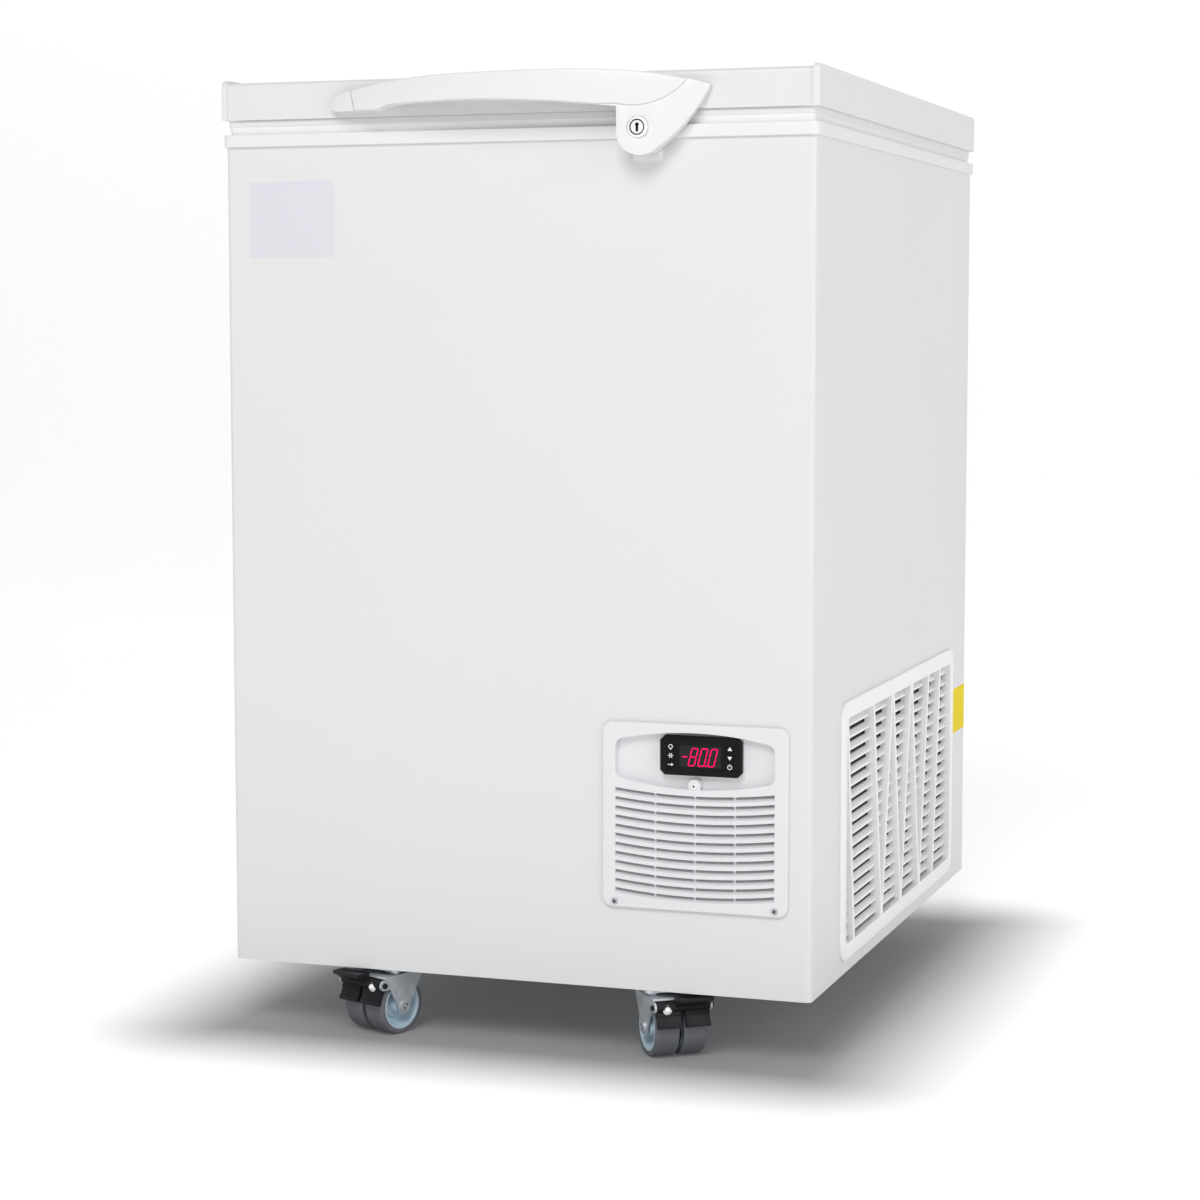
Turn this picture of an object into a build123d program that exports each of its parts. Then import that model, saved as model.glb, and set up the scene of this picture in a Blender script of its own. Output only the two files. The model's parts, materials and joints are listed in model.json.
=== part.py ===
from build123d import *
import math
import os

# Chest freezer on casters. Front is -Y, right is +X, the floor is z = 0.

# Outside sizes
LID_WIDTH = 590.0
LID_DEPTH = 700.0
TOTAL_HEIGHT = 920.0
CASTER_HEIGHT = 66.0
LID_OVERHANG = 3.0
CABINET_BEND = 5.0

# Layers of the rim, from the top down
CAP_HEIGHT = 38.0
LIP_HEIGHT = 6.0
GASKET_HEIGHT = 7.5
TRIM_HEIGHT = 12.0

# Sheets, walls and clearances
SHEET = 1.0
PAN_SHEET = 1.5
PAN_FLANGE = 25.0
WRAP_FLANGE = 20.0
BACK_INSET = 4.0
PLASTIC = 2.5
SEAT = 0.2
RUNNING = 0.3
FREE = 0.5

# Chest inside: an upper hold and a deep well on the left
WALL_SIDE = 92.0
WALL_END = 97.0
STEP_WALL = 90.0
HOLD_CORNER = 22.0
WELL_WALL = 95.0
FLOOR_WALL = 104.0
LINER_RIM = 16.0
SKIRT_DEPTH = 18.0

# Machine compartment, low on the right
BAY_WIDTH = 227.0
BAY_HEIGHT = 304.0

# Lid
CAP_THICK = 6.0
CAP_PROUD = 2.0
CAP_RISE = 2.5
CAP_TONGUE = 10.0
CAP_EDGE = 1.6
LID_BEND = 5.0
LIP_INSET = 4.5
GASKET_INSET = 5.0
GASKET_WIDTH = 18.0
GASKET_LEAN = 1.0
PLUG_GAP = 8.0
PLUG_DEPTH = 38.0
PLUG_TAPER = 5.0

# Handle, seen from the front, with the lock lobe on its right
HANDLE_LEFT = -178.0
HANDLE_RIGHT = 195.0
HANDLE_TOP_DROP = 2.0
HANDLE_TIP_DROP = 17.0
HANDLE_FOOT_RISE = 5.0
HANDLE_BAR_RISE = 5.0
HANDLE_FOOT_LENGTH = 54.0
HANDLE_END_HEIGHT = 13.0
HANDLE_SLOPE = 0.3
HANDLE_REACH = 36.0
HANDLE_END_REACH = 6.0
FINGER_HALF = 108.0
FINGER_DEEP = 23.0
FINGER_X = -4.0
COVER_THICK = 6.0
BOW_MARGIN = 4.0
TAIL_BULGE = 6.0
TAIL_END_X = 17.2
TAIL_END_DROP = 18.3
NECK_DROP = 3.0
FOOT_STEP = 10.0
FOOT_ROUND = 7.0
SEAM_LEFT_HIGH = 19.0
SEAM_LEFT_LOW = 27.0
SEAM_RIGHT = 12.0
SEAM_CURVE_X = 40.0
SEAM_CURVE_Z = 4.0
LOCK_X = 131.5
LOCK_DROP = 17.0
LOBE_LEFT = 19.0
LOBE_SHIFT = 2.0
LOBE_DROP = 25.0
LOBE_WALL = 3.0
LOBE_GAP = 2.0
LOCK_PLUG_R = 7.0
LOCK_COLLAR_R = 9.6
LOCK_BARREL_R = 8.6
LOCK_PROUD = 2.5
CAM_GAP = 5.0
CAM_SHEET = 2.0
CAM_ARM = 5.0
CAM_HOOK_R = 14.0
CAM_TIP_R = 16.2
CAM_HOOK_ANGLE = 40.0

# Lock strike on the cabinet front
STRIKE_WIDTH = 28.0
STRIKE_HEIGHT = 20.5
STRIKE_MIDDLE = 2.1
STRIKE_SHEET = 2.0
STRIKE_TAB_LEFT = 3.2
STRIKE_TAB_RIGHT = 8.0
STRIKE_NOTCH_GAP = 2.5

# Lid hinges at the back
HINGE_INSET = 115.0
HINGE_BACK = 16.0
HINGE_DROP = 9.0
HINGE_BARREL_R = 8.0
HINGE_PIN_R = 4.0
HINGE_HEAD_R = 6.0
HINGE_WIDTH = 56.0
HINGE_KNUCKLE = 28.0
HINGE_SHEET = 3.0
HINGE_FOOT_DROP = 75.0

# Front panel
PANEL_GAP = 21.5
PANEL_WIDTH = 180.0
PANEL_RISE = 78.0
PANEL_HEIGHT = 176.0
PANEL_CORNER = 10.0
PANEL_PROUD = 4.0
PANEL_DEEP = 10.0
PANEL_LAP = 8.0
FIELD_WIDTH = 154.0
RECESS_DROP = 17.0
RECESS_HEIGHT = 35.0
RECESS_BULGE = 9.0
RECESS_DEEP = 8.0
LOUVRE_DROP = 62.0
LOUVRE_PITCH = 8.6
LOUVRE_ROWS = 12
LOUVRE_OPEN = 5.0
LOUVRE_SAG = 5.0
LOUVRE_RIB = 2.0
LOUVRE_SLOPE = 0.55
BOSS_R = 6.0
BOSS_DROP = 57.5
PAD_MARGIN = 0.6
PAD_THICK = 2.0
SCREW_INSET = 12.5
SCREW_RISE = 6.0
SCREW_R = 3.0
SCREW_HEAD = 1.4

# Temperature controller
CONTROL_SHIFT = 6.0
CONTROL_DROP = 29.5
CONTROL_WIDTH = 79.0
CONTROL_HEIGHT = 37.0
CONTROL_BODY_WIDTH = 71.0
CONTROL_BODY_HEIGHT = 29.0
CONTROL_DEPTH = 56.0
CONTROL_PROUD = 7.0
CONTROL_CHAMFER = 4.5
WINDOW_WIDTH = 40.0
WINDOW_HEIGHT = 20.0
WINDOW_DEEP = 1.2
KEY_WIDTH = 8.0
KEY_HEIGHT = 6.0
KEY_PITCH = 8.4
KEY_REACH = 28.5
KEY_RISE = 0.4
KEY_DEEP = 2.4
KEY_TRAVEL = 0.6

# Side grille
GRILLE_FRONT_GAP = 106.0
GRILLE_BACK_GAP = 78.0
GRILLE_RISE = 13.0
GRILLE_HEIGHT = 251.0
GRILLE_CORNER = 18.0
GRILLE_FRAME = 16.0
GRILLE_PROUD = 3.0
GRILLE_EDGE = 1.8
GRILLE_DEEP = 13.0
GRILLE_LAP = 7.0
SLAT_PITCH = 12.0
SLAT_THICK = 2.2
SLAT_DROP = 8.0
SLAT_BACK = 3.0
RIB_WIDTH = 6.0
RIB_LEAN = 42.0
RIB_PAIRS = 3
RIB_PAIR_PITCH = 87.0
SIDE_RIB_LEAN = 33.0
RIGHT_RIB_INSET = 52.0

# Machine cover at the back
COVER_INSET = 15.0
COVER_SIDE_GAP = 16.0
COVER_RISE = 18.0
COVER_DROP = 18.0
COVER_LAP = 8.0
VENT_WIDTH = 5.0
VENT_PITCH = 14.0
VENT_HEIGHT = 70.0
VENT_MARGIN = 28.0
GLAND_R = 4.75
GLAND_NECK_R = 8.0
GLAND_FLANGE_R = 13.0
GLAND_LENGTH = 22.0
GLAND_DROP = 32.0

# Cooling machine
COMPRESSOR_BACK = 182.0
COMPRESSOR_R = 72.0
COMPRESSOR_HEIGHT = 168.0
STUB_RISE = 100.8
TERMINAL_OUT = 18.0
TERMINAL_HEIGHT = 43.0
FOOT_PLATE_X = 128.0
FOOT_PLATE_Y = 196.0
FOOT_PLATE_SHEET = 3.0
GROMMET_R = 11.0
GROMMET_WAIST_R = 8.25
GROMMET_HEIGHT = 16.0
GROMMET_INSET = 14.0
STUB_R = 5.0
STUB_LENGTH = 14.0
CONDENSER_FRONT = 85.0
CONDENSER_WIDTH = 190.0
CONDENSER_HEIGHT = 190.0
HEADER_R = 11.0
FLAT_TUBE = 2.4
FLAT_TUBE_DEPTH = 17.6
FLAT_TUBES = 13
SHROUD_GAP = 10.0
SHROUD_SHEET = 1.5
FAN_R = 76.0
FAN_TIP_GAP = 5.0
FAN_HUB_R = 20.0
FAN_DEEP = 22.0
FAN_BLADES = 5
BLADE_WIDTH = 44.0
BLADE_SHEET = 1.6
BLADE_PITCH = 28.0
MOTOR_R = 26.0
MOTOR_LENGTH = 48.0
MOTOR_ARM = 8.0
FAN_SHAFT_R = 3.0
DRIER_R = 11.0
DRIER_NECK_R = 4.4
DRIER_LENGTH = 96.0
DRIER_FRONT = 257.0
DRIER_RISE = 124.0
LINE_R = 3.5
COIL_R = 4.0
COIL_TURNS = 4
COIL_RISE = 80.0
COIL_TOP_GAP = 68.5
LINE_BEND = 12.0
CHASE_WIDTH = 90.0
CHASE_INSET = 40.0
CHASE_SPREAD = 12.0

# Casters
CASTER_INSET_X = 152.0
CASTER_INSET_Y = 42.0
CASTER_TRAIL = 16.0
WHEEL_R = 28.0
WHEEL_WIDTH = 23.5
WHEEL_GAP = 4.0
TYRE_THICK = 5.0
TYRE_ROUND = 2.0
AXLE_R = 4.0
AXLE_HEAD_R = 5.6
HUB_BOSS_R = 8.0
HUB_WEB = 4.0
HUB_RIM = 3.0
FORK_SHEET = 2.0
FORK_SIDE_GAP = 1.2
FORK_TOP_DROP = 6.0
FORK_HALF_TOP = 26.0
FORK_EAR_R = 8.0
PLATE_SIZE = 62.0
PLATE_SHEET = 3.0
KINGPIN_R = 6.0
KINGPIN_HEAD_R = 9.0
RACE_R = 17.0
BOLT_R = 4.5
BOLT_HEAD = 3.0
TOE_LEFT = 22.0
TOE_RIGHT = 37.0
BRAKE_PIVOT_OUT = 27.0
BRAKE_PIVOT_UP = 24.0
BRAKE_PIN_R = 2.5
BRAKE_BOSS_R = 5.0
BRAKE_SHOE_GAP = 2.6
BRAKE_SHOE_THICK = 3.5
BRAKE_SHOE_FROM = 145.0
BRAKE_SHOE_TO = 172.0
BRAKE_RIDGE = 1.4
BRAKE_RIDGE_ANGLE = 7.0
PEDAL_LENGTH = 16.0
PEDAL_WIDTH = 34.0
PEDAL_DROP = 3.5
PEDAL_SHEET = 3.5
PEDAL_CURVE_OUT = 6.5
PEDAL_CURVE_RISE = 1.5

# Levels and places worked out from the sizes above
CABINET_WIDTH = LID_WIDTH - 2 * LID_OVERHANG
CABINET_DEPTH = LID_DEPTH - 2 * LID_OVERHANG
LID_Z = TOTAL_HEIGHT - CAP_HEIGHT
LIP_Z = LID_Z - LIP_HEIGHT
SEAL_Z = LIP_Z - GASKET_HEIGHT
TRIM_Z = SEAL_Z - TRIM_HEIGHT
BASE_Z = CASTER_HEIGHT
FLOOR_Z = BASE_Z + PAN_SHEET
SHEET_TOP = TOTAL_HEIGHT - CAP_RISE
FRONT = -CABINET_DEPTH / 2
BACK = CABINET_DEPTH / 2
SIDE = CABINET_WIDTH / 2
LID_FRONT = -LID_DEPTH / 2 + CAP_PROUD
LID_BACK = LID_DEPTH / 2 - CAP_PROUD
CAP_X = LID_WIDTH / 2 - CAP_THICK
HANDLE_TOP = TOTAL_HEIGHT - HANDLE_TOP_DROP
HANDLE_TIP = TOTAL_HEIGHT - HANDLE_TIP_DROP
HANDLE_FOOT_Z = LID_Z + HANDLE_FOOT_RISE
HANDLE_BAR_Z = HANDLE_FOOT_Z + HANDLE_BAR_RISE
LOCK_Z = LID_Z - LOCK_DROP
LOBE_BACK = LID_DEPTH / 2 + LOBE_GAP
CAM_PLANE = LOBE_BACK + CAM_GAP
STRIKE_BOTTOM = TRIM_Z - STRIKE_HEIGHT
HINGE_X = LID_WIDTH / 2 - HINGE_INSET
HINGE_Y = LID_DEPTH / 2 + HINGE_BACK
HINGE_Z = LID_Z - HINGE_DROP
BAY_X = SIDE - BAY_WIDTH
BAY_TOP = BASE_Z + BAY_HEIGHT
BAY_MIDDLE = SIDE - BAY_WIDTH / 2
HOLD_WIDTH = CABINET_WIDTH - 2 * WALL_SIDE
HOLD_DEPTH = CABINET_DEPTH - 2 * WALL_END
HOLD_FLOOR = BAY_TOP + STEP_WALL
WELL_WIDTH = HOLD_WIDTH / 2 + BAY_X - WELL_WALL
WELL_FLOOR = BASE_Z + FLOOR_WALL
PANEL_X = SIDE - PANEL_GAP - PANEL_WIDTH / 2
PANEL_BOTTOM = BASE_Z + PANEL_RISE
PANEL_TOP = PANEL_BOTTOM + PANEL_HEIGHT
PANEL_Z = PANEL_BOTTOM + PANEL_HEIGHT / 2
RECESS_HIGH = PANEL_TOP - RECESS_DROP
RECESS_LOW = RECESS_HIGH - RECESS_HEIGHT
LOUVRE_TOP = PANEL_TOP - LOUVRE_DROP
BOSS_Z = PANEL_TOP - BOSS_DROP
CONTROL_X = PANEL_X + CONTROL_SHIFT
CONTROL_Z = PANEL_TOP - CONTROL_DROP
GRILLE_LENGTH = CABINET_DEPTH - GRILLE_FRONT_GAP - GRILLE_BACK_GAP
GRILLE_Y = FRONT + GRILLE_FRONT_GAP + GRILLE_LENGTH / 2
GRILLE_BOTTOM = BASE_Z + GRILLE_RISE
GRILLE_TOP = GRILLE_BOTTOM + GRILLE_HEIGHT
GRILLE_Z = GRILLE_BOTTOM + GRILLE_HEIGHT / 2
COVER_LEFT = BAY_X + COVER_INSET
COVER_RIGHT = SIDE - COVER_SIDE_GAP
COVER_BOTTOM = BASE_Z + COVER_RISE
COVER_TOP = BAY_TOP - COVER_DROP
COMPRESSOR_X = BAY_MIDDLE
COMPRESSOR_Y = BACK - COMPRESSOR_BACK
CONDENSER_X = BAY_MIDDLE
CONDENSER_Y = FRONT + CONDENSER_FRONT
DRIER_Y = FRONT + DRIER_FRONT
DRIER_Z = BASE_Z + DRIER_RISE
COIL_LOW = HOLD_FLOOR + COIL_RISE
COIL_PITCH = (TRIM_Z - COIL_TOP_GAP - COIL_LOW) / COIL_TURNS
CHASE_X = HOLD_WIDTH / 2 - CHASE_INSET
CASTER_X = SIDE - CASTER_INSET_X
CASTER_Y = BACK - CASTER_INSET_Y
HINGE_OUT = HINGE_Y + HINGE_BARREL_R - LID_DEPTH / 2
STRIKE_TAB_FRONT = CAM_PLANE + CAM_SHEET
BODY_Y = (HANDLE_REACH - HINGE_OUT) / 2
BAY_RIGHT = SIDE - SHEET - SEAT - PAN_SHEET - SEAT
BAY_DEPTH = CABINET_DEPTH - 2 * (SHEET + SEAT + PAN_SHEET + SEAT)
MOUTH_WIDTH = HOLD_WIDTH - 2 * (SEAT + PLASTIC)
MOUTH_DEPTH = HOLD_DEPTH - 2 * (SEAT + PLASTIC)
MOUTH_CORNER = HOLD_CORNER - SEAT - PLASTIC
WELL_X = (WELL_WIDTH - HOLD_WIDTH) / 2


def between(x0, x1, y0, y1, z0, z1):
    """A block given by its limits."""
    middle = Pos((x0 + x1) / 2, (y0 + y1) / 2, (z0 + z1) / 2)
    return middle * Box(x1 - x0, y1 - y0, z1 - z0)


def upright(outline, z0, z1):
    """A plan outline raised from z0 to z1."""
    return Pos(0, 0, z0) * extrude(outline, z1 - z0)


def from_front(outline, y_back, y_front):
    """An outline in X and Z, run from y_back forward to y_front."""
    plane = Plane((0, y_back, 0), x_dir=(1, 0, 0), z_dir=(0, -1, 0))
    return extrude(plane * outline, y_back - y_front)


def from_side(outline, x_in, x_out):
    """An outline in Y and Z, run from x_in to x_out."""
    plane = Plane((x_in, 0, 0), x_dir=(0, 1, 0), z_dir=(1, 0, 0))
    return extrude(plane * outline, x_out - x_in)


def rod_y(x, z, radius, y0, y1):
    """A round bar along Y."""
    return from_front(Pos(x, z) * Circle(radius), y1, y0)


def rod_x(y, z, radius, x0, x1):
    """A round bar along X."""
    return from_side(Pos(y, z) * Circle(radius), x0, x1)


def rod_z(x, y, radius, z0, z1):
    """A round bar along Z."""
    return upright(Pos(x, y) * Circle(radius), z0, z1)


def arched(width, height, bend):
    """A rectangle on the X axis with its two upper corners bent round."""
    outline = Pos(0, height / 2) * Rectangle(width, height)
    return fillet(outline.vertices().group_by(Axis.Y)[-1], bend)


def sector(start, stop, reach):
    """A wedge about the origin between two angles in degrees."""
    corners = [(0, 0)]
    for angle in (start, stop):
        turn = math.radians(angle)
        corners.append((reach * math.cos(turn), reach * math.sin(turn)))
    return make_face(Polyline(*corners, close=True))


def tube(points, bends, radius):
    """A round tube along straight runs and tangent bends."""
    path = FilletPolyline(*points, radius=bends)
    section = Plane(path @ 0, z_dir=path % 0) * Circle(radius)
    return sweep(section, path=path)


def save(name, *solids):
    """Writes one piece, moved so that the footprint's centre is the origin."""
    placed = [Pos(0, BODY_Y, 0) * solid for solid in solids]
    shape = placed[0] if len(placed) == 1 else Compound(children=placed)
    export_step(shape, f"parts/{name}.step")


# Cabinet shell


def make_cabinet_wrap():
    """Front and both sides in one bent sheet, with flanges at the back and vent openings."""
    outer = RectangleRounded(CABINET_WIDTH, CABINET_DEPTH, CABINET_BEND)
    inner = RectangleRounded(
        CABINET_WIDTH - 2 * SHEET, CABINET_DEPTH - 2 * SHEET, CABINET_BEND - SHEET
    )
    half_open = SIDE - WRAP_FLANGE
    open_back = Pos(0, BACK) * Rectangle(2 * half_open, 4 * SHEET)
    wrap = upright(outer - inner - open_back, BASE_Z, TRIM_Z)
    front_hole = Pos(PANEL_X, PANEL_Z) * RectangleRounded(
        PANEL_WIDTH - 2 * PANEL_LAP, PANEL_HEIGHT - 2 * PANEL_LAP, PANEL_CORNER / 2
    )
    side_hole = Pos(GRILLE_Y, GRILLE_Z) * RectangleRounded(
        GRILLE_LENGTH - 2 * GRILLE_LAP, GRILLE_HEIGHT - 2 * GRILLE_LAP, GRILLE_CORNER - GRILLE_LAP
    )
    wrap -= from_front(front_hole, FRONT + 2 * SHEET, FRONT - SHEET)
    for x, z, proud in screw_places():
        wrap -= rod_y(x, z, SCREW_R / 2 + SEAT, FRONT - SHEET, FRONT + 2 * SHEET)
    return wrap - from_side(side_hole, SIDE - 2 * SHEET, SIDE + SHEET)


def make_back_panel():
    """Flat sheet on the back flanges, open behind the machine compartment."""
    half = SIDE - BACK_INSET
    panel = between(-half, half, BACK, BACK + SHEET, BASE_Z + BACK_INSET, TRIM_Z - BACK_INSET)
    hole = between(
        COVER_LEFT + COVER_LAP,
        COVER_RIGHT - COVER_LAP,
        BACK - SHEET,
        BACK + 2 * SHEET,
        COVER_BOTTOM + COVER_LAP,
        COVER_TOP - COVER_LAP,
    )
    return panel - hole


def make_base_pan():
    """Tray that closes the underside, with its edges turned up inside the wrap."""
    inset = SHEET + SEAT
    outer = RectangleRounded(
        CABINET_WIDTH - 2 * inset, CABINET_DEPTH - 2 * inset, CABINET_BEND - SHEET
    )
    inset += PAN_SHEET
    inner = RectangleRounded(
        CABINET_WIDTH - 2 * inset, CABINET_DEPTH - 2 * inset, CABINET_BEND - SHEET - PAN_SHEET
    )
    tray = upright(outer, BASE_Z, BASE_Z + PAN_FLANGE)
    tray -= upright(inner, FLOOR_Z, BASE_Z + 2 * PAN_FLANGE)
    front_hole = Pos(PANEL_X, PANEL_Z) * Rectangle(
        PANEL_WIDTH - 2 * PANEL_LAP, PANEL_HEIGHT - 2 * PANEL_LAP
    )
    side_hole = Pos(GRILLE_Y, GRILLE_Z) * Rectangle(
        GRILLE_LENGTH - 2 * GRILLE_LAP, GRILLE_HEIGHT - 2 * GRILLE_LAP
    )
    tray -= from_front(front_hole, FRONT + 4 * PAN_SHEET, FRONT)
    return tray - from_side(side_hole, SIDE - 4 * PAN_SHEET, SIDE)


def make_step_panel():
    """Wall and roof of the machine compartment, bent from one sheet."""
    corner = Polyline((BAY_X, FLOOR_Z), (BAY_X, BAY_TOP), (BAY_RIGHT, BAY_TOP))
    inside = Polyline(
        (BAY_RIGHT, BAY_TOP - SHEET), (BAY_X + SHEET, BAY_TOP - SHEET), (BAY_X + SHEET, FLOOR_Z)
    )
    outline = make_face([corner, Line(corner @ 1, inside @ 0), inside, Line(inside @ 1, corner @ 0)])
    step = from_front(outline, BAY_DEPTH / 2, -BAY_DEPTH / 2)
    return step - line_chase(BAY_TOP - 2 * SHEET, BAY_TOP + SHEET)


def line_chase(z0, z1):
    """Space in front of the chest for the refrigerant lines."""
    liner_front = -HOLD_DEPTH / 2 - SHEET - SEAT
    deep = 4 * (COIL_R + FREE)
    half = CHASE_WIDTH / 2
    return between(CHASE_X - half, CHASE_X + half, liner_front - deep, liner_front, z0, z1)


def liner_outside(grow):
    """The stepped chest from outside, larger by grow all round."""
    gain = 2 * (SHEET + grow)
    corner = HOLD_CORNER + SHEET + grow
    hold = RectangleRounded(HOLD_WIDTH + gain, HOLD_DEPTH + gain, corner)
    well = Pos(WELL_X, 0) * RectangleRounded(WELL_WIDTH + gain, HOLD_DEPTH + gain, corner)
    low = SHEET + grow
    return upright(hold, HOLD_FLOOR - low, TRIM_Z) + upright(well, WELL_FLOOR - low, HOLD_FLOOR)


def make_inner_liner():
    """Stepped steel chest with a rim that hangs on the cabinet walls."""
    hold = RectangleRounded(HOLD_WIDTH, HOLD_DEPTH, HOLD_CORNER)
    well = Pos(WELL_X, 0) * RectangleRounded(WELL_WIDTH, HOLD_DEPTH, HOLD_CORNER)
    rim = RectangleRounded(
        HOLD_WIDTH + 2 * LINER_RIM, HOLD_DEPTH + 2 * LINER_RIM, HOLD_CORNER + LINER_RIM
    )
    shell = liner_outside(0) + upright(rim, TRIM_Z - SHEET, TRIM_Z)
    shell -= upright(hold, HOLD_FLOOR, TRIM_Z + SHEET)
    return shell - upright(well, WELL_FLOOR, HOLD_FLOOR + SHEET)


def coil_pocket():
    """Room round the chest for the evaporator tube."""
    gain = 2 * (SHEET + SEAT)
    deep = 2 * (COIL_R + 2 * FREE)
    inner = RectangleRounded(HOLD_WIDTH + gain, HOLD_DEPTH + gain, HOLD_CORNER + gain / 2)
    outer = RectangleRounded(
        HOLD_WIDTH + gain + 2 * deep, HOLD_DEPTH + gain + 2 * deep, HOLD_CORNER + gain / 2 + deep
    )
    low = COIL_LOW - 2 * COIL_R
    high = COIL_LOW + COIL_TURNS * COIL_PITCH + 2 * COIL_R
    return upright(outer - inner, low, high)


def make_insulation_foam():
    """Foamed-in-place block between the sheets and the chest."""
    flange_top = BASE_Z + PAN_FLANGE + SEAT
    wide = RectangleRounded(
        CABINET_WIDTH - 2 * (SHEET + SEAT), CABINET_DEPTH - 2 * (SHEET + SEAT), CABINET_BEND - SHEET
    )
    narrow = RectangleRounded(2 * BAY_RIGHT, BAY_DEPTH, CABINET_BEND - SHEET)
    foam = upright(wide, flange_top, TRIM_Z) + upright(narrow, FLOOR_Z, flange_top)
    foam -= between(BAY_X, SIDE, -CABINET_DEPTH, CABINET_DEPTH, 0, BAY_TOP)
    foam -= liner_outside(SEAT)
    rim = RectangleRounded(
        HOLD_WIDTH + 2 * (LINER_RIM + SEAT), HOLD_DEPTH + 2 * (LINER_RIM + SEAT), HOLD_CORNER + LINER_RIM
    )
    foam -= upright(rim, TRIM_Z - SHEET - SEAT, TRIM_Z + SHEET)
    foam -= coil_pocket()
    return foam - line_chase(BAY_TOP - SHEET, COIL_LOW + COIL_TURNS * COIL_PITCH + 2 * COIL_R)


def make_top_frame():
    """Trim ring over the wall tops, with a skirt down into the chest."""
    outer = RectangleRounded(LID_WIDTH, LID_DEPTH, CABINET_BEND + LID_OVERHANG)
    mouth = RectangleRounded(MOUTH_WIDTH, MOUTH_DEPTH, MOUTH_CORNER)
    skirt = RectangleRounded(HOLD_WIDTH - 2 * SEAT, HOLD_DEPTH - 2 * SEAT, HOLD_CORNER - SEAT)
    lap = LID_OVERHANG + 2 * PLASTIC
    hollow_out = RectangleRounded(LID_WIDTH - 2 * lap, LID_DEPTH - 2 * lap, CABINET_BEND)
    edge = LINER_RIM / 2
    hollow_in = RectangleRounded(HOLD_WIDTH + 2 * edge, HOLD_DEPTH + 2 * edge, HOLD_CORNER + edge)
    frame = upright(outer, TRIM_Z, SEAL_Z) + upright(skirt, TRIM_Z - SKIRT_DEPTH, TRIM_Z)
    frame -= upright(mouth, TRIM_Z - 2 * SKIRT_DEPTH, SEAL_Z + SHEET)
    return frame - upright(hollow_out - hollow_in, TRIM_Z, SEAL_Z - PLASTIC)


# Front panel and controller


def louvre_band(row):
    """One row of curved slots, in X and Z about the panel's centre line."""
    half = FIELD_WIDTH / 2
    top = LOUVRE_TOP - row * LOUVRE_PITCH
    upper = ThreePointArc((-half, top), (0, top - LOUVRE_SAG), (half, top))
    low = top - LOUVRE_OPEN
    lower = ThreePointArc((half, low), (0, low - LOUVRE_SAG), (-half, low))
    band = make_face([upper, Line(upper @ 1, lower @ 0), lower, Line(lower @ 1, upper @ 0)])
    column = FIELD_WIDTH / 4
    for side in (-1, 0, 1):
        band -= Pos(side * column, top) * Rectangle(LOUVRE_RIB, 4 * LOUVRE_PITCH)
    return band


def recess_outline():
    """Long lens-shaped recess that holds the controller."""
    half = FIELD_WIDTH / 2
    upper = ThreePointArc((-half, RECESS_HIGH), (0, RECESS_HIGH + RECESS_BULGE), (half, RECESS_HIGH))
    lower = ThreePointArc((half, RECESS_LOW), (0, RECESS_LOW - RECESS_BULGE), (-half, RECESS_LOW))
    return make_face([upper, Line(upper @ 1, lower @ 0), lower, Line(lower @ 1, upper @ 0)])


def screw_places():
    """Centres of the front panel's screws, in X and Z."""
    reach = PANEL_WIDTH / 2 - SCREW_INSET
    low = PANEL_BOTTOM + SCREW_RISE
    return [
        (PANEL_X - reach, low, PANEL_PROUD),
        (PANEL_X + reach, low, PANEL_PROUD),
        (PANEL_X, BOSS_Z, PANEL_PROUD),
    ]


def make_front_panel():
    """Moulded panel: rounded face, recess, screw boss and rows of sloping curved louvres."""
    face_y = FRONT - PANEL_PROUD
    back_y = FRONT + PANEL_DEEP
    plate = from_front(
        Pos(PANEL_X, PANEL_Z) * RectangleRounded(PANEL_WIDTH, PANEL_HEIGHT, PANEL_CORNER), FRONT, face_y
    )
    plate = fillet(plate.faces().sort_by(Axis.Y)[0].edges(), PANEL_PROUD / 2)
    lap = PANEL_LAP + FREE
    plate += from_front(
        Pos(PANEL_X, PANEL_Z)
        * RectangleRounded(PANEL_WIDTH - 2 * lap, PANEL_HEIGHT - 2 * lap, PANEL_CORNER / 2 - FREE),
        back_y,
        FRONT,
    )
    plate -= from_front(Pos(PANEL_X, 0) * recess_outline(), face_y + RECESS_DEEP, face_y - PANEL_PROUD)
    boss = rod_y(PANEL_X, BOSS_Z, BOSS_R, face_y, back_y)
    pad = Pos(CONTROL_X, CONTROL_Z) * Rectangle(
        CONTROL_WIDTH + 2 * PAD_MARGIN, CONTROL_HEIGHT + 2 * PAD_MARGIN
    )
    plate += from_front(pad, CONTROL_SEAT + PAD_THICK, CONTROL_SEAT)
    plane = Plane((PANEL_X, face_y, 0), x_dir=(1, 0, 0), z_dir=(0, -1, 0))
    deep = 2 * (PANEL_PROUD + PANEL_DEEP)
    slots = [
        extrude(plane * louvre_band(row), deep, dir=(0, 1, LOUVRE_SLOPE)) for row in range(LOUVRE_ROWS)
    ]
    plate -= slots
    plate += boss
    opening = Pos(CONTROL_X, CONTROL_Z) * Rectangle(
        CONTROL_BODY_WIDTH + 2 * SEAT, CONTROL_BODY_HEIGHT + 2 * SEAT
    )
    plate -= from_front(opening, back_y + SHEET, face_y - SHEET)
    for x, z, proud in screw_places():
        plate -= rod_y(x, z, SCREW_R / 2 + SEAT, FRONT - proud - SHEET, back_y + SHEET)
    return plate


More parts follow.
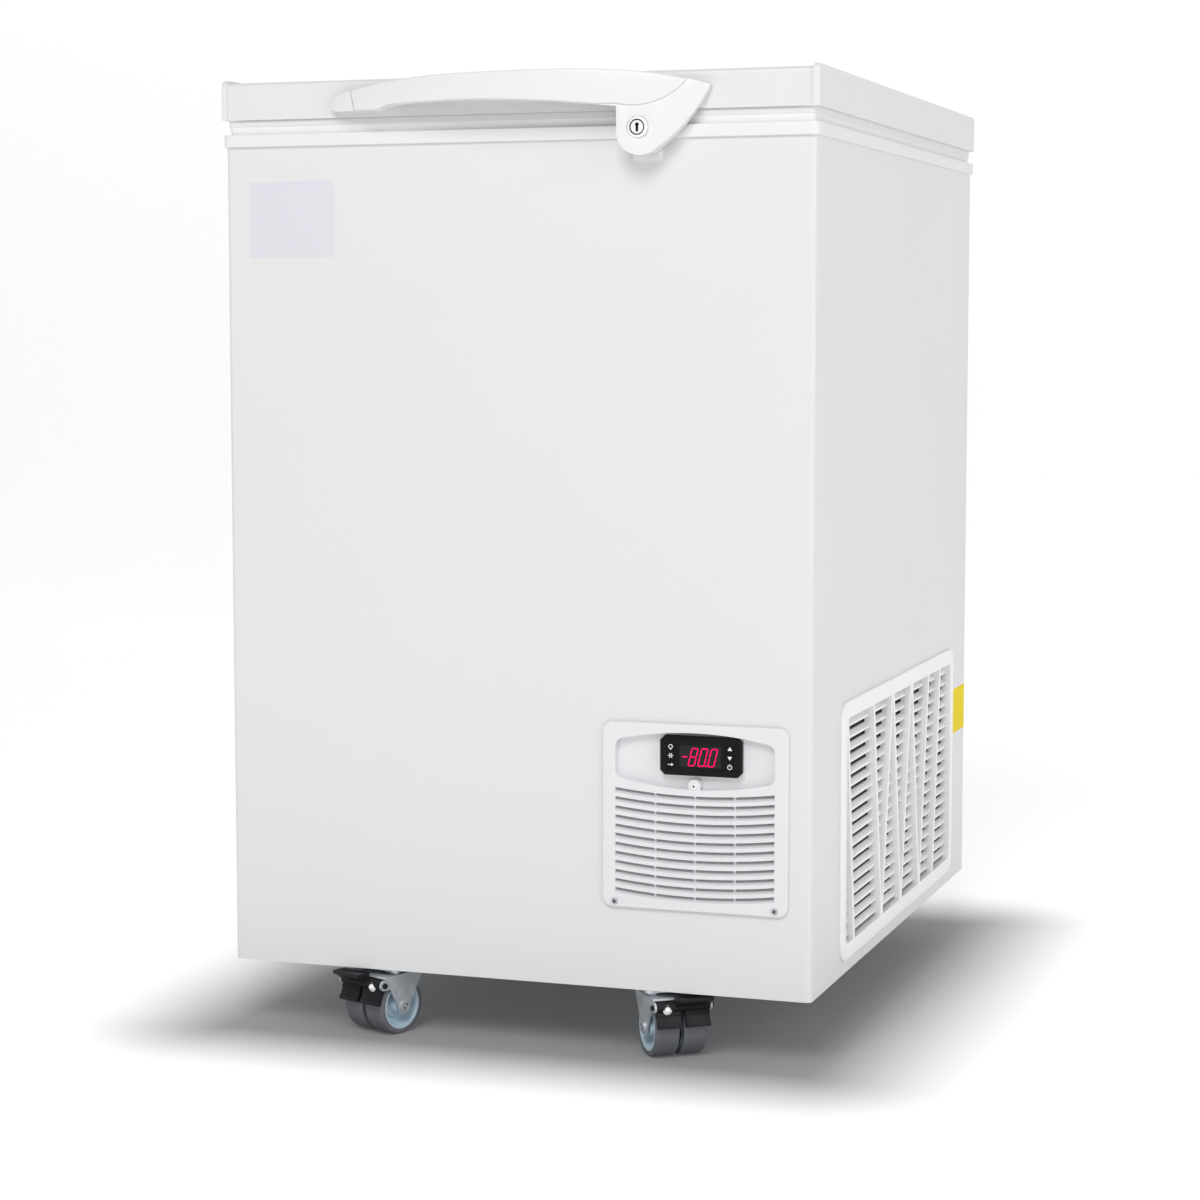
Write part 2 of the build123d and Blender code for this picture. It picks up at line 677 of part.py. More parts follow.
def make_panel_screws():
    """Round-headed screws with a cross cut."""
    screws = []
    for x, z, proud in screw_places():
        seat_y = FRONT - proud
        head = rod_y(x, z, SCREW_R, seat_y - SCREW_HEAD, seat_y)
        head = fillet(head.faces().sort_by(Axis.Y)[0].edges(), SCREW_HEAD / 2)
        shank = rod_y(x, z, SCREW_R / 2, seat_y, FRONT + PANEL_DEEP)
        cut = SCREW_R / 4
        cross = Rectangle(SCREW_R, cut) + Rectangle(cut, SCREW_R)
        slot = from_front(Pos(x, z) * cross, seat_y - SCREW_HEAD / 2, seat_y - 2 * SCREW_HEAD)
        screws.append(head + shank - slot)
    return screws


def key_places():
    """Centres of the six keys, three on each side of the window."""
    places = {}
    for side, name in ((-1, "left"), (1, "right")):
        for row, level in ((1, "top"), (0, "middle"), (-1, "bottom")):
            x = CONTROL_X + side * KEY_REACH
            places[f"key_{name}_{level}"] = (x, CONTROL_Z + row * KEY_PITCH)
    return places


CONTROL_SEAT = FRONT - PANEL_PROUD + RECESS_DEEP - PAD_THICK
CONTROL_FACE = CONTROL_SEAT - CONTROL_PROUD


def make_controller_body():
    """Controller case with its chamfered bezel, window pocket and key wells."""
    case = from_front(
        Pos(CONTROL_X, CONTROL_Z) * Rectangle(CONTROL_BODY_WIDTH, CONTROL_BODY_HEIGHT),
        CONTROL_FACE + CONTROL_DEPTH,
        CONTROL_SEAT,
    )
    outline = chamfer(Rectangle(CONTROL_WIDTH, CONTROL_HEIGHT).vertices(), CONTROL_CHAMFER)
    bezel = from_front(Pos(CONTROL_X, CONTROL_Z) * outline, CONTROL_SEAT, CONTROL_FACE)
    bezel = chamfer(bezel.faces().sort_by(Axis.Y)[0].edges(), 2 * SHEET)
    body = case + bezel
    window = Pos(CONTROL_X, CONTROL_Z) * Rectangle(WINDOW_WIDTH + 2 * SEAT, WINDOW_HEIGHT + 2 * SEAT)
    body -= from_front(window, CONTROL_FACE + WINDOW_DEEP, CONTROL_FACE - SHEET)
    well = RectangleRounded(KEY_WIDTH + 2 * SEAT, KEY_HEIGHT + 2 * SEAT, SHEET)
    well_floor = CONTROL_FACE + KEY_DEEP + KEY_TRAVEL + SEAT
    for x, z in key_places().values():
        body -= from_front(Pos(x, z) * well, well_floor, CONTROL_FACE - SHEET)
    return body


def make_display_window():
    """Flush window over the digits."""
    pane = Pos(CONTROL_X, CONTROL_Z) * Rectangle(WINDOW_WIDTH, WINDOW_HEIGHT)
    return from_front(pane, CONTROL_FACE + WINDOW_DEEP, CONTROL_FACE)


def make_key(x, z):
    """One key cap that stands a little out of the bezel."""
    cap = RectangleRounded(KEY_WIDTH, KEY_HEIGHT, SHEET)
    key = from_front(Pos(x, z) * cap, CONTROL_FACE + KEY_DEEP, CONTROL_FACE - KEY_RISE)
    return chamfer(key.faces().sort_by(Axis.Y)[0].edges(), KEY_RISE / 2)


# Side grille and machine cover


def rib_line(top_y, bottom_y):
    """One slanting rib of the grille, in Y and Z, from the frame's top to its bottom."""
    half = RIB_WIDTH / 2
    z_high = GRILLE_TOP - GRILLE_FRAME / 2
    z_low = GRILLE_BOTTOM + GRILLE_FRAME / 2
    points = [
        (top_y - half, z_high),
        (top_y + half, z_high),
        (bottom_y + half, z_low),
        (bottom_y - half, z_low),
    ]
    return make_face(Polyline(*points, close=True))


def make_side_grille():
    """Rounded frame with sloping slats crossed by ribs that run in a zigzag."""
    outline = Pos(GRILLE_Y, GRILLE_Z) * RectangleRounded(GRILLE_LENGTH, GRILLE_HEIGHT, GRILLE_CORNER)
    window_length = GRILLE_LENGTH - 2 * GRILLE_FRAME
    window_height = GRILLE_HEIGHT - 2 * GRILLE_FRAME
    window = Pos(GRILLE_Y, GRILLE_Z) * RectangleRounded(window_length, window_height, GRILLE_CORNER / 2)
    face_x = SIDE + GRILLE_PROUD
    flange = from_side(outline, SIDE, face_x)
    flange = fillet(flange.faces().sort_by(Axis.X)[-1].edges(), GRILLE_EDGE)
    lap = GRILLE_LAP + FREE
    tongue = Pos(GRILLE_Y, GRILLE_Z) * RectangleRounded(
        GRILLE_LENGTH - 2 * lap, GRILLE_HEIGHT - 2 * lap, GRILLE_CORNER - lap
    )
    deep_x = SIDE - GRILLE_DEEP
    frame = flange + from_side(tongue, deep_x, SIDE) - from_side(window, deep_x - SHEET, face_x + SHEET)
    rows = int(window_height // SLAT_PITCH)
    first = GRILLE_Z - (rows - 1) * SLAT_PITCH / 2
    half = window_length / 2 + GRILLE_FRAME / 4
    y0 = GRILLE_Y - half
    slat_face = SIDE - SLAT_BACK
    slats = []
    for row in range(rows):
        z = first + row * SLAT_PITCH
        section = Polyline(
            (slat_face, z - SLAT_DROP / 2),
            (slat_face, z - SLAT_DROP / 2 + SLAT_THICK),
            (deep_x, z + SLAT_DROP / 2 + SLAT_THICK),
            (deep_x, z + SLAT_DROP / 2),
            close=True,
        )
        plane = Plane((0, y0, 0), x_dir=(1, 0, 0), z_dir=(0, -1, 0))
        slats.append(extrude(plane * make_face(section), -2 * half))
    left_y = GRILLE_Y - window_length / 2 + RIB_WIDTH / 2
    right_y = GRILLE_Y + window_length / 2 - RIGHT_RIB_INSET
    ribs = [rib_line(left_y, left_y + SIDE_RIB_LEAN), rib_line(right_y, right_y - SIDE_RIB_LEAN)]
    for pair in range(RIB_PAIRS):
        low_y = GRILLE_Y + (pair - (RIB_PAIRS - 1) / 2) * RIB_PAIR_PITCH
        ribs += [rib_line(low_y - RIB_LEAN, low_y), rib_line(low_y + RIB_LEAN, low_y)]
    bars = [from_side(rib, deep_x + GRILLE_PROUD, face_x - SHEET / 2) for rib in ribs]
    return frame + slats + bars


def make_machine_cover():
    """Vented sheet screwed over the back of the machine compartment."""
    cover = between(COVER_LEFT, COVER_RIGHT, BACK + SHEET, BACK + 2 * SHEET, COVER_BOTTOM, COVER_TOP)
    middle = (COVER_LEFT + COVER_RIGHT) / 2
    count = int((COVER_RIGHT - COVER_LEFT - 2 * VENT_MARGIN) // VENT_PITCH) + 1
    for level in (COVER_TOP - VENT_MARGIN, COVER_TOP - 1.5 * VENT_MARGIN - VENT_HEIGHT):
        for place in range(count):
            x = middle + (place - (count - 1) / 2) * VENT_PITCH
            slot = Pos(x, level - VENT_HEIGHT / 2) * SlotOverall(VENT_HEIGHT, VENT_WIDTH, rotation=90)
            cover -= from_front(slot, BACK + 3 * SHEET, BACK)
    return cover - rod_y(GLAND_X, GLAND_Z, GLAND_NECK_R + SEAT, BACK, BACK + 3 * SHEET)


GLAND_X = COVER_LEFT + VENT_MARGIN
GLAND_Z = COVER_BOTTOM + GLAND_DROP


def make_cord_gland():
    """Bush with a flange outside the cover and a bore for the mains lead."""
    outside = BACK + 2 * SHEET
    flange_y = outside + PLASTIC
    neck = rod_y(GLAND_X, GLAND_Z, GLAND_NECK_R, flange_y - GLAND_LENGTH, flange_y)
    flange = rod_y(GLAND_X, GLAND_Z, GLAND_FLANGE_R, outside, flange_y)
    return neck + flange - rod_y(GLAND_X, GLAND_Z, GLAND_R, flange_y - 2 * GLAND_LENGTH, flange_y + PLASTIC)


# Cooling machine


COMPRESSOR_BASE = FLOOR_Z + GROMMET_HEIGHT + FOOT_PLATE_SHEET
STUB_Z = COMPRESSOR_BASE + STUB_RISE


def make_compressor():
    """Welded steel can with a seam, a foot plate, a terminal box and two pipe stubs."""
    round_r = COMPRESSOR_R / 3
    profile = Pos(COMPRESSOR_R / 2, COMPRESSOR_HEIGHT / 2) * Rectangle(COMPRESSOR_R, COMPRESSOR_HEIGHT)
    outer = profile.vertices().group_by(Axis.X)[-1]
    profile = fillet(outer, round_r)
    profile += Pos(COMPRESSOR_R, COMPRESSOR_HEIGHT / 2) * Rectangle(2 * PLASTIC, PLASTIC)
    can = revolve(Plane.XZ * profile, Axis.Z)
    can = Pos(COMPRESSOR_X, COMPRESSOR_Y, COMPRESSOR_BASE) * can
    plate_z = COMPRESSOR_BASE - FOOT_PLATE_SHEET
    plate = upright(
        Pos(COMPRESSOR_X, COMPRESSOR_Y) * RectangleRounded(FOOT_PLATE_X, FOOT_PLATE_Y, GROMMET_R),
        plate_z,
        COMPRESSOR_BASE,
    )
    box = between(
        COMPRESSOR_X - COMPRESSOR_R / 2,
        COMPRESSOR_X + COMPRESSOR_R / 2,
        COMPRESSOR_Y + COMPRESSOR_R / 2,
        COMPRESSOR_Y + COMPRESSOR_R + TERMINAL_OUT,
        COMPRESSOR_BASE + COMPRESSOR_R / 2,
        COMPRESSOR_BASE + COMPRESSOR_R / 2 + TERMINAL_HEIGHT,
    )
    front_y = COMPRESSOR_Y - COMPRESSOR_R
    stubs = [
        rod_y(x, STUB_Z, STUB_R, front_y - STUB_LENGTH, COMPRESSOR_Y) for x in (DISCHARGE_X, SUCTION_X)
    ]
    return can + plate + box + stubs


DISCHARGE_X = COMPRESSOR_X + COMPRESSOR_R / 3
SUCTION_X = COMPRESSOR_X - COMPRESSOR_R / 3


def make_compressor_grommets():
    """Rubber feet between the foot plate and the pan."""
    reach_x = FOOT_PLATE_X / 2 - GROMMET_INSET
    reach_y = FOOT_PLATE_Y / 2 - GROMMET_INSET
    waist = Polyline(
        (0, 0),
        (GROMMET_R, 0),
        (GROMMET_WAIST_R, GROMMET_HEIGHT / 2),
        (GROMMET_R, GROMMET_HEIGHT),
        (0, GROMMET_HEIGHT),
        close=True,
    )
    foot = revolve(Plane.XZ * make_face(waist), Axis.Z)
    return [
        Pos(COMPRESSOR_X + sx * reach_x, COMPRESSOR_Y + sy * reach_y, FLOOR_Z) * foot
        for sx in (-1, 1)
        for sy in (-1, 1)
    ]


CONDENSER_TOP = FLOOR_Z + CONDENSER_HEIGHT
HEADER_X = CONDENSER_WIDTH / 2 - HEADER_R
INLET_Z = CONDENSER_TOP - 2 * HEADER_R
OUTLET_Z = FLOOR_Z + 3 * HEADER_R


def make_condenser():
    """Two upright headers joined by flat tubes, standing on the pan."""
    coil = Part()
    for side in (-1, 1):
        x = CONDENSER_X + side * HEADER_X
        coil += rod_z(x, CONDENSER_Y, HEADER_R, FLOOR_Z, CONDENSER_TOP)
    pitch = (CONDENSER_HEIGHT - 2 * HEADER_R) / (FLAT_TUBES - 1)
    for row in range(FLAT_TUBES):
        z = FLOOR_Z + HEADER_R + row * pitch
        coil += between(
            CONDENSER_X - HEADER_X,
            CONDENSER_X + HEADER_X,
            CONDENSER_Y - FLAT_TUBE_DEPTH / 2,
            CONDENSER_Y + FLAT_TUBE_DEPTH / 2,
            z - FLAT_TUBE / 2,
            z + FLAT_TUBE / 2,
        )
    stub_y = CONDENSER_Y + HEADER_R + STUB_LENGTH
    coil += rod_y(CONDENSER_X + HEADER_X, INLET_Z, STUB_R, CONDENSER_Y, stub_y)
    coil += rod_y(CONDENSER_X - HEADER_X, OUTLET_Z, STUB_R, CONDENSER_Y, stub_y)
    return coil


SHROUD_Y = CONDENSER_Y + HEADER_R + STUB_LENGTH + SHROUD_GAP
FAN_Z = FLOOR_Z + CONDENSER_HEIGHT / 2
MOTOR_Y = SHROUD_Y + FAN_DEEP + 2 * SHROUD_GAP


def make_fan_shroud():
    """Sheet with a round air throat, feet on the pan and three arms that carry the motor."""
    half = CONDENSER_WIDTH / 2 - 2 * HEADER_R
    throat = FAN_R + FAN_TIP_GAP
    sheet = between(
        CONDENSER_X - half,
        CONDENSER_X + half,
        SHROUD_Y,
        SHROUD_Y + SHROUD_SHEET,
        FLOOR_Z,
        FLOOR_Z + CONDENSER_HEIGHT,
    )
    collar = rod_y(CONDENSER_X, FAN_Z, throat + SHROUD_SHEET, SHROUD_Y, MOTOR_Y)
    shroud = sheet + collar - rod_y(CONDENSER_X, FAN_Z, throat, SHROUD_Y - FAN_DEEP, MOTOR_Y + FAN_DEEP)
    foot = between(
        CONDENSER_X - half, CONDENSER_X + half, SHROUD_Y, SHROUD_Y + FAN_DEEP, FLOOR_Z, FLOOR_Z + SHROUD_SHEET
    )
    arms = Part()
    for turn in (90, 210, 330):
        bar = Pos(throat / 2, 0) * Rectangle(throat + SHROUD_SHEET, MOTOR_ARM)
        arms += from_front(Pos(CONDENSER_X, FAN_Z) * Rot(0, 0, turn) * bar, MOTOR_Y, MOTOR_Y - SHROUD_SHEET)
    arms -= rod_y(CONDENSER_X, FAN_Z, FAN_SHAFT_R + FREE, MOTOR_Y - FAN_DEEP, MOTOR_Y + FAN_DEEP)
    return shroud + foot + arms


def make_fan_motor():
    """Small motor behind the arms, with its shaft through to the fan."""
    can = rod_y(CONDENSER_X, FAN_Z, MOTOR_R, MOTOR_Y, MOTOR_Y + MOTOR_LENGTH)
    can = fillet(can.faces().sort_by(Axis.Y)[-1].edges(), PLASTIC)
    return can + rod_y(CONDENSER_X, FAN_Z, FAN_SHAFT_R, SHROUD_Y + SHROUD_GAP, MOTOR_Y)


def make_fan_blades():
    """Hub with pitched blades."""
    front_y = SHROUD_Y + SHROUD_GAP / 2
    hub = rod_y(CONDENSER_X, FAN_Z, FAN_HUB_R, front_y, front_y + FAN_DEEP)
    hub = fillet(hub.faces().sort_by(Axis.Y)[0].edges(), PLASTIC)
    reach = FAN_R - FAN_HUB_R / 2
    centre = Pos(CONDENSER_X, front_y + FAN_DEEP / 2, FAN_Z)
    sweep_arc = rod_y(0, 0, FAN_R, -FAN_DEEP, FAN_DEEP)
    blade = Rot(BLADE_PITCH, 0, 0) * Box(reach, BLADE_SHEET, BLADE_WIDTH)
    blade = Pos((FAN_HUB_R + reach) / 2, 0, 0) * blade & sweep_arc
    fan = hub
    for place in range(FAN_BLADES):
        fan += centre * Rot(0, 360 / FAN_BLADES * place, 0) * blade
    shaft = rod_y(CONDENSER_X, FAN_Z, FAN_SHAFT_R + RUNNING, SHROUD_Y + SHROUD_GAP - RUNNING, MOTOR_Y)
    return fan - shaft


DRIER_X = BAY_X + SHEET + SEAT + DRIER_R


def make_filter_drier():
    """Copper drier, standing against the compartment wall."""
    neck = DRIER_NECK_R
    half = DRIER_LENGTH / 2
    profile = Polyline(
        (0, -half - DRIER_R),
        (neck, -half - DRIER_R),
        (neck, -half),
        (DRIER_R, -half + DRIER_R),
        (DRIER_R, half - DRIER_R),
        (neck, half),
        (neck, half + DRIER_R),
        (0, half + DRIER_R),
        close=True,
    )
    return Pos(DRIER_X, DRIER_Y, DRIER_Z) * revolve(Plane.XZ * make_face(profile), Axis.Z)


LINER_FRONT = -HOLD_DEPTH / 2 - SHEET - SEAT
COIL_Y = LINER_FRONT - COIL_R
RETURN_Y = COIL_Y - 2 * COIL_R - FREE
SUPPLY_X = CHASE_X - CHASE_SPREAD
RETURN_X = CHASE_X - 3 * CHASE_SPREAD
COIL_BEND = HOLD_CORNER + SHEET + SEAT + COIL_R


def make_evaporator_coil():
    """Tube wound round the chest, fed from below and brought back down in front."""
    x = HOLD_WIDTH / 2 + SHEET + SEAT + COIL_R
    y = HOLD_DEPTH / 2 + SHEET + SEAT + COIL_R
    points = [(SUPPLY_X, -y, BAY_TOP), (SUPPLY_X, -y, COIL_LOW)]
    for turn in range(COIL_TURNS):
        z = COIL_LOW + turn * COIL_PITCH
        points += [(-x, -y, z), (-x, y, z), (x, y, z), (x, -y, z + COIL_PITCH)]
    z = COIL_LOW + COIL_TURNS * COIL_PITCH
    points += [(RETURN_X, RETURN_Y, z), (RETURN_X, RETURN_Y, BAY_TOP)]
    bends = [LINE_BEND] + [COIL_BEND] * (4 * COIL_TURNS) + [LINE_BEND]
    return tube(points, bends, COIL_R)


def make_refrigerant_lines():
    """Discharge, liquid and suction lines between the pieces of the machine."""
    top = BAY_TOP - 4 * LINE_BEND
    lead = 4 * LINE_BEND
    stub_front = COMPRESSOR_Y - COMPRESSOR_R - STUB_LENGTH
    stub_back = CONDENSER_Y + HEADER_R + STUB_LENGTH
    inlet_x = CONDENSER_X + HEADER_X
    outlet_x = CONDENSER_X - HEADER_X
    discharge = [
        (DISCHARGE_X, stub_front, STUB_Z),
        (DISCHARGE_X, stub_front - lead, STUB_Z),
        (inlet_x, stub_back + lead, INLET_Z),
        (inlet_x, stub_back, INLET_Z),
    ]
    neck_z = DRIER_Z - DRIER_LENGTH / 2 - DRIER_R
    liquid = [
        (outlet_x, stub_back, OUTLET_Z),
        (outlet_x, stub_back + lead, OUTLET_Z),
        (DRIER_X, DRIER_Y, OUTLET_Z - 2 * LINE_R),
        (DRIER_X, DRIER_Y, neck_z),
    ]
    supply = [
        (DRIER_X, DRIER_Y, DRIER_Z + DRIER_LENGTH / 2 + DRIER_R),
        (DRIER_X, DRIER_Y, top),
        (SUPPLY_X, COIL_Y, top),
        (SUPPLY_X, COIL_Y, BAY_TOP),
    ]
    suction = [
        (RETURN_X, RETURN_Y, BAY_TOP),
        (RETURN_X, RETURN_Y, top - lead / 2),
        (SUCTION_X, stub_front - lead, top - lead / 2),
        (SUCTION_X, stub_front - lead, STUB_Z),
        (SUCTION_X, stub_front, STUB_Z),
    ]
    return [tube(run, LINE_BEND, LINE_R) for run in (discharge, liquid, supply, suction)]


# Lid


def make_lid_wrap():
    """Lid sheet bent down at the front and the back, held between the end caps."""
    height = SHEET_TOP - LID_Z
    width = LID_BACK - LID_FRONT
    outline = arched(width, height, LID_BEND) - arched(width - 2 * SHEET, height - SHEET, LID_BEND - SHEET)
    return from_side(Pos(0, LID_Z) * outline, -CAP_X, CAP_X)


def make_lid_cap(side):
    """End moulding with a proud rounded rim and a tongue inside the lid sheet."""
    outline = Pos(0, LID_Z) * arched(LID_DEPTH, CAP_HEIGHT, LID_BEND + CAP_PROUD)
    cap = from_side(outline, CAP_X, LID_WIDTH / 2)
    cap = fillet(cap.faces().sort_by(Axis.X)[-1].edges(), CAP_EDGE)
    lap = CAP_PROUD + SHEET + SEAT
    height = SHEET_TOP - LID_Z - SHEET - SEAT
    bend = LID_BEND - SHEET
    width = LID_DEPTH - 2 * lap
    tongue = arched(width, height, bend) - arched(width - 2 * PLASTIC, height - PLASTIC, bend - PLASTIC / 2)
    cap += from_side(Pos(0, LID_Z) * tongue, CAP_X - CAP_TONGUE, CAP_X)
    return cap if side > 0 else mirror(cap, Plane.YZ)


PLUG_WIDTH = MOUTH_WIDTH - 2 * PLUG_GAP
PLUG_DEPTH_Y = MOUTH_DEPTH - 2 * PLUG_GAP


def plug_form(inset, top, bottom):
    """Tapered block of the lid's plug, inset from its outside."""
    shift = (LIP_Z - top) * math.tan(math.radians(PLUG_TAPER))
    width = PLUG_WIDTH - 2 * (inset + shift)
    depth = PLUG_DEPTH_Y - 2 * (inset + shift)
    outline = RectangleRounded(width, depth, MOUTH_CORNER)
    return Pos(0, 0, top) * extrude(outline, bottom - top, taper=PLUG_TAPER)


def make_lid_liner():
    """Inner pan of the lid with a tapered plug that drops into the mouth."""
    lip = RectangleRounded(LID_WIDTH - 2 * LIP_INSET, LID_DEPTH - 2 * LIP_INSET, CABINET_BEND)
    pan = upright(lip, LIP_Z, LID_Z) + plug_form(0, LIP_Z, LIP_Z - PLUG_DEPTH)
    return pan - plug_form(PLASTIC, LID_Z, LIP_Z - PLUG_DEPTH + PLASTIC)


def make_lid_foam():
    """Foam between the lid sheet and the pan."""
    half_x = CAP_X - CAP_TONGUE - SEAT
    half_y = LID_BACK - SHEET - SEAT - LID_BEND
    block = between(-half_x, half_x, -half_y, half_y, LID_Z, SHEET_TOP - SHEET - SEAT)
    return block + plug_form(PLASTIC + SEAT, LID_Z, LIP_Z - PLUG_DEPTH + PLASTIC + SEAT)


def make_lid_gasket():
    """Seal ring under the lip, leaning in towards its lower edge."""
    high = RectangleRounded(LID_WIDTH - 2 * GASKET_INSET, LID_DEPTH - 2 * GASKET_INSET, CABINET_BEND)
    low_inset = GASKET_INSET + GASKET_LEAN
    low = RectangleRounded(LID_WIDTH - 2 * low_inset, LID_DEPTH - 2 * low_inset, CABINET_BEND)
    bottom = SEAL_Z + SEAT
    ring = loft([Pos(0, 0, bottom) * low, Pos(0, 0, LIP_Z) * high])
    inside = low_inset + GASKET_WIDTH
    hole = RectangleRounded(LID_WIDTH - 2 * inside, LID_DEPTH - 2 * inside, CABINET_BEND)
    return ring - upright(hole, bottom - SHEET, LIP_Z + SHEET)


# Handle and lock


def handle_outline():
    """Front view of the handle: arched bar, left foot and the comma-shaped lock lobe."""
    middle = (HANDLE_LEFT + HANDLE_RIGHT) / 2
    top = Spline(
        (HANDLE_LEFT, HANDLE_FOOT_Z + HANDLE_END_HEIGHT),
        (middle, HANDLE_TOP),
        (HANDLE_RIGHT, HANDLE_TIP),
        tangents=((1, HANDLE_SLOPE), (1, -HANDLE_SLOPE)),
    )
    tail = ThreePointArc(
        top @ 1,
        ((HANDLE_RIGHT + LOCK_X + TAIL_END_X) / 2 + TAIL_BULGE, (HANDLE_TIP + LOCK_Z - TAIL_END_DROP) / 2),
        (LOCK_X + TAIL_END_X, LOCK_Z - TAIL_END_DROP),
    )
    low = (LOCK_X + LOBE_SHIFT, LOCK_Z - LOBE_DROP)
    lobe = ThreePointArc(tail @ 1, low, (LOCK_X - LOBE_LEFT, LOCK_Z))
    neck = Line(lobe @ 1, (LOCK_X - LOBE_LEFT, HANDLE_FOOT_Z - NECK_DROP))
    foot_x = HANDLE_LEFT + HANDLE_FOOT_LENGTH
    under = Spline(neck @ 1, (middle, HANDLE_BAR_Z), (foot_x + FOOT_STEP, HANDLE_BAR_Z - SHEET))
    step = Line(under @ 1, (foot_x, HANDLE_FOOT_Z))
    foot = Line(step @ 1, (HANDLE_LEFT + FOOT_ROUND, HANDLE_FOOT_Z))
    end = ThreePointArc(foot @ 1, (HANDLE_LEFT - SHEET, HANDLE_FOOT_Z + FOOT_ROUND), top @ 0)
    return make_face([top, tail, lobe, neck, under, step, foot, end])


def bow_outline(inset):
    """Plan of the handle's bowed front, set back by inset."""
    middle = (HANDLE_LEFT + HANDLE_RIGHT) / 2
    end_y = LID_FRONT - HANDLE_END_REACH + inset
    peak_y = -LID_DEPTH / 2 - HANDLE_REACH + inset
    bow = ThreePointArc(
        (HANDLE_LEFT - BOW_MARGIN, end_y), (middle, peak_y), (HANDLE_RIGHT + BOW_MARGIN, end_y)
    )
    back = Polyline(
        bow @ 1,
        (HANDLE_RIGHT + BOW_MARGIN, LID_FRONT),
        (HANDLE_LEFT - BOW_MARGIN, LID_FRONT),
        bow @ 0,
    )
    return make_face([bow, back])


def handle_form():
    """The whole handle: front view and bowed plan in one, hollow behind the bar and the lobe."""
    depth = LID_DEPTH / 2 + HANDLE_REACH
    form = from_front(handle_outline(), LID_FRONT, -depth - SHEET)
    form &= upright(bow_outline(0), STRIKE_BOTTOM, TOTAL_HEIGHT)
    fingers = Pos(FINGER_X, LID_FRONT) * Ellipse(FINGER_HALF, FINGER_DEEP)
    form -= upright(fingers, STRIKE_BOTTOM, TOTAL_HEIGHT + SHEET)
    low_back = between(HANDLE_LEFT, HANDLE_RIGHT + SHEET, -LOBE_BACK, 0, STRIKE_BOTTOM, LID_Z + SHEET)
    return form - low_back


def make_handle():
    """Base with its lock lobe, and the cover that closes the bar's front."""
    form = handle_form()
    front_y = -LID_DEPTH / 2 - HANDLE_REACH
    high_left = (HANDLE_LEFT + SEAM_LEFT_HIGH, TOTAL_HEIGHT)
    low_left = (HANDLE_LEFT + SEAM_LEFT_LOW, HANDLE_FOOT_Z)
    low_right = (LOCK_X - LOBE_LEFT, HANDLE_FOOT_Z - SHEET)
    high_right = (HANDLE_RIGHT - SEAM_RIGHT, TOTAL_HEIGHT)
    curve = (HANDLE_RIGHT - SEAM_CURVE_X, HANDLE_FOOT_Z + SEAM_CURVE_Z)
    seam = make_face(
        [
            Line(high_left, low_left),
            Line(low_left, low_right),
            ThreePointArc(low_right, curve, high_right),
            Line(high_right, high_left),
        ]
    )
    layer = from_front(seam, LID_FRONT, front_y - SHEET)
    layer -= upright(bow_outline(COVER_THICK), STRIKE_BOTTOM, TOTAL_HEIGHT + SHEET)
    cover = form & layer
    base = form - layer
    cavity_front = CAM_PLANE + CAM_SHEET + LOBE_WALL
    cavity_r = CAM_TIP_R + FREE
    base -= rod_y(LOCK_X, LOCK_Z, cavity_r, -cavity_front, -LOBE_BACK + SHEET)
    base -= rod_y(LOCK_X, LOCK_Z, LOCK_BARREL_R + SEAT, front_y, -LOBE_BACK)
    base -= rod_y(LOCK_X, LOCK_Z, LOCK_COLLAR_R + SEAT, front_y, LOCK_SEAT)
    tab_left = LOCK_X + STRIKE_TAB_LEFT - STRIKE_NOTCH_GAP
    tab_right = LOCK_X + STRIKE_TAB_RIGHT + STRIKE_NOTCH_GAP
    base -= between(
        tab_left,
        tab_right,
        -STRIKE_TAB_FRONT - STRIKE_NOTCH_GAP,
        0,
        STRIKE_BOTTOM,
        LOCK_Z - LOCK_COLLAR_R,
    )
    return base, cover


def lock_face():
    """Y of the handle's bowed front at the lock."""
    middle = (HANDLE_LEFT + HANDLE_RIGHT) / 2
    share = (LOCK_X - middle) / ((HANDLE_RIGHT - HANDLE_LEFT) / 2)
    drop = (LID_DEPTH / 2 + HANDLE_REACH + LID_FRONT - HANDLE_END_REACH) * share**2
    return -LID_DEPTH / 2 - HANDLE_REACH + drop


LOCK_SEAT = lock_face() + LOBE_WALL
LOCK_FRONT = lock_face() - LOCK_PROUD


def make_lock_body():
    """Chrome collar and barrel that hold the turning plug."""
    collar = rod_y(LOCK_X, LOCK_Z, LOCK_COLLAR_R, LOCK_FRONT, LOCK_SEAT)
    collar = fillet(collar.faces().sort_by(Axis.Y)[0].edges(), LOCK_PROUD / 2)
    barrel = rod_y(LOCK_X, LOCK_Z, LOCK_BARREL_R, LOCK_SEAT, -CAM_PLANE - CAM_SHEET - SEAT)
    bore = rod_y(LOCK_X, LOCK_Z, LOCK_PLUG_R + RUNNING, LOCK_FRONT - SHEET, -LOBE_BACK)
    return collar + barrel - bore


def make_lock_plug():
    """Turning plug with its key slot."""
    plug = rod_y(LOCK_X, LOCK_Z, LOCK_PLUG_R, LOCK_FRONT + SHEET / 2, -CAM_PLANE - CAM_SHEET)
    slot = Pos(LOCK_X, LOCK_Z) * SlotOverall(LOCK_PLUG_R, LOCK_PROUD, rotation=90)
    plug -= from_front(slot, LOCK_FRONT + 2 * PLASTIC, LOCK_FRONT - SHEET)
    return plug


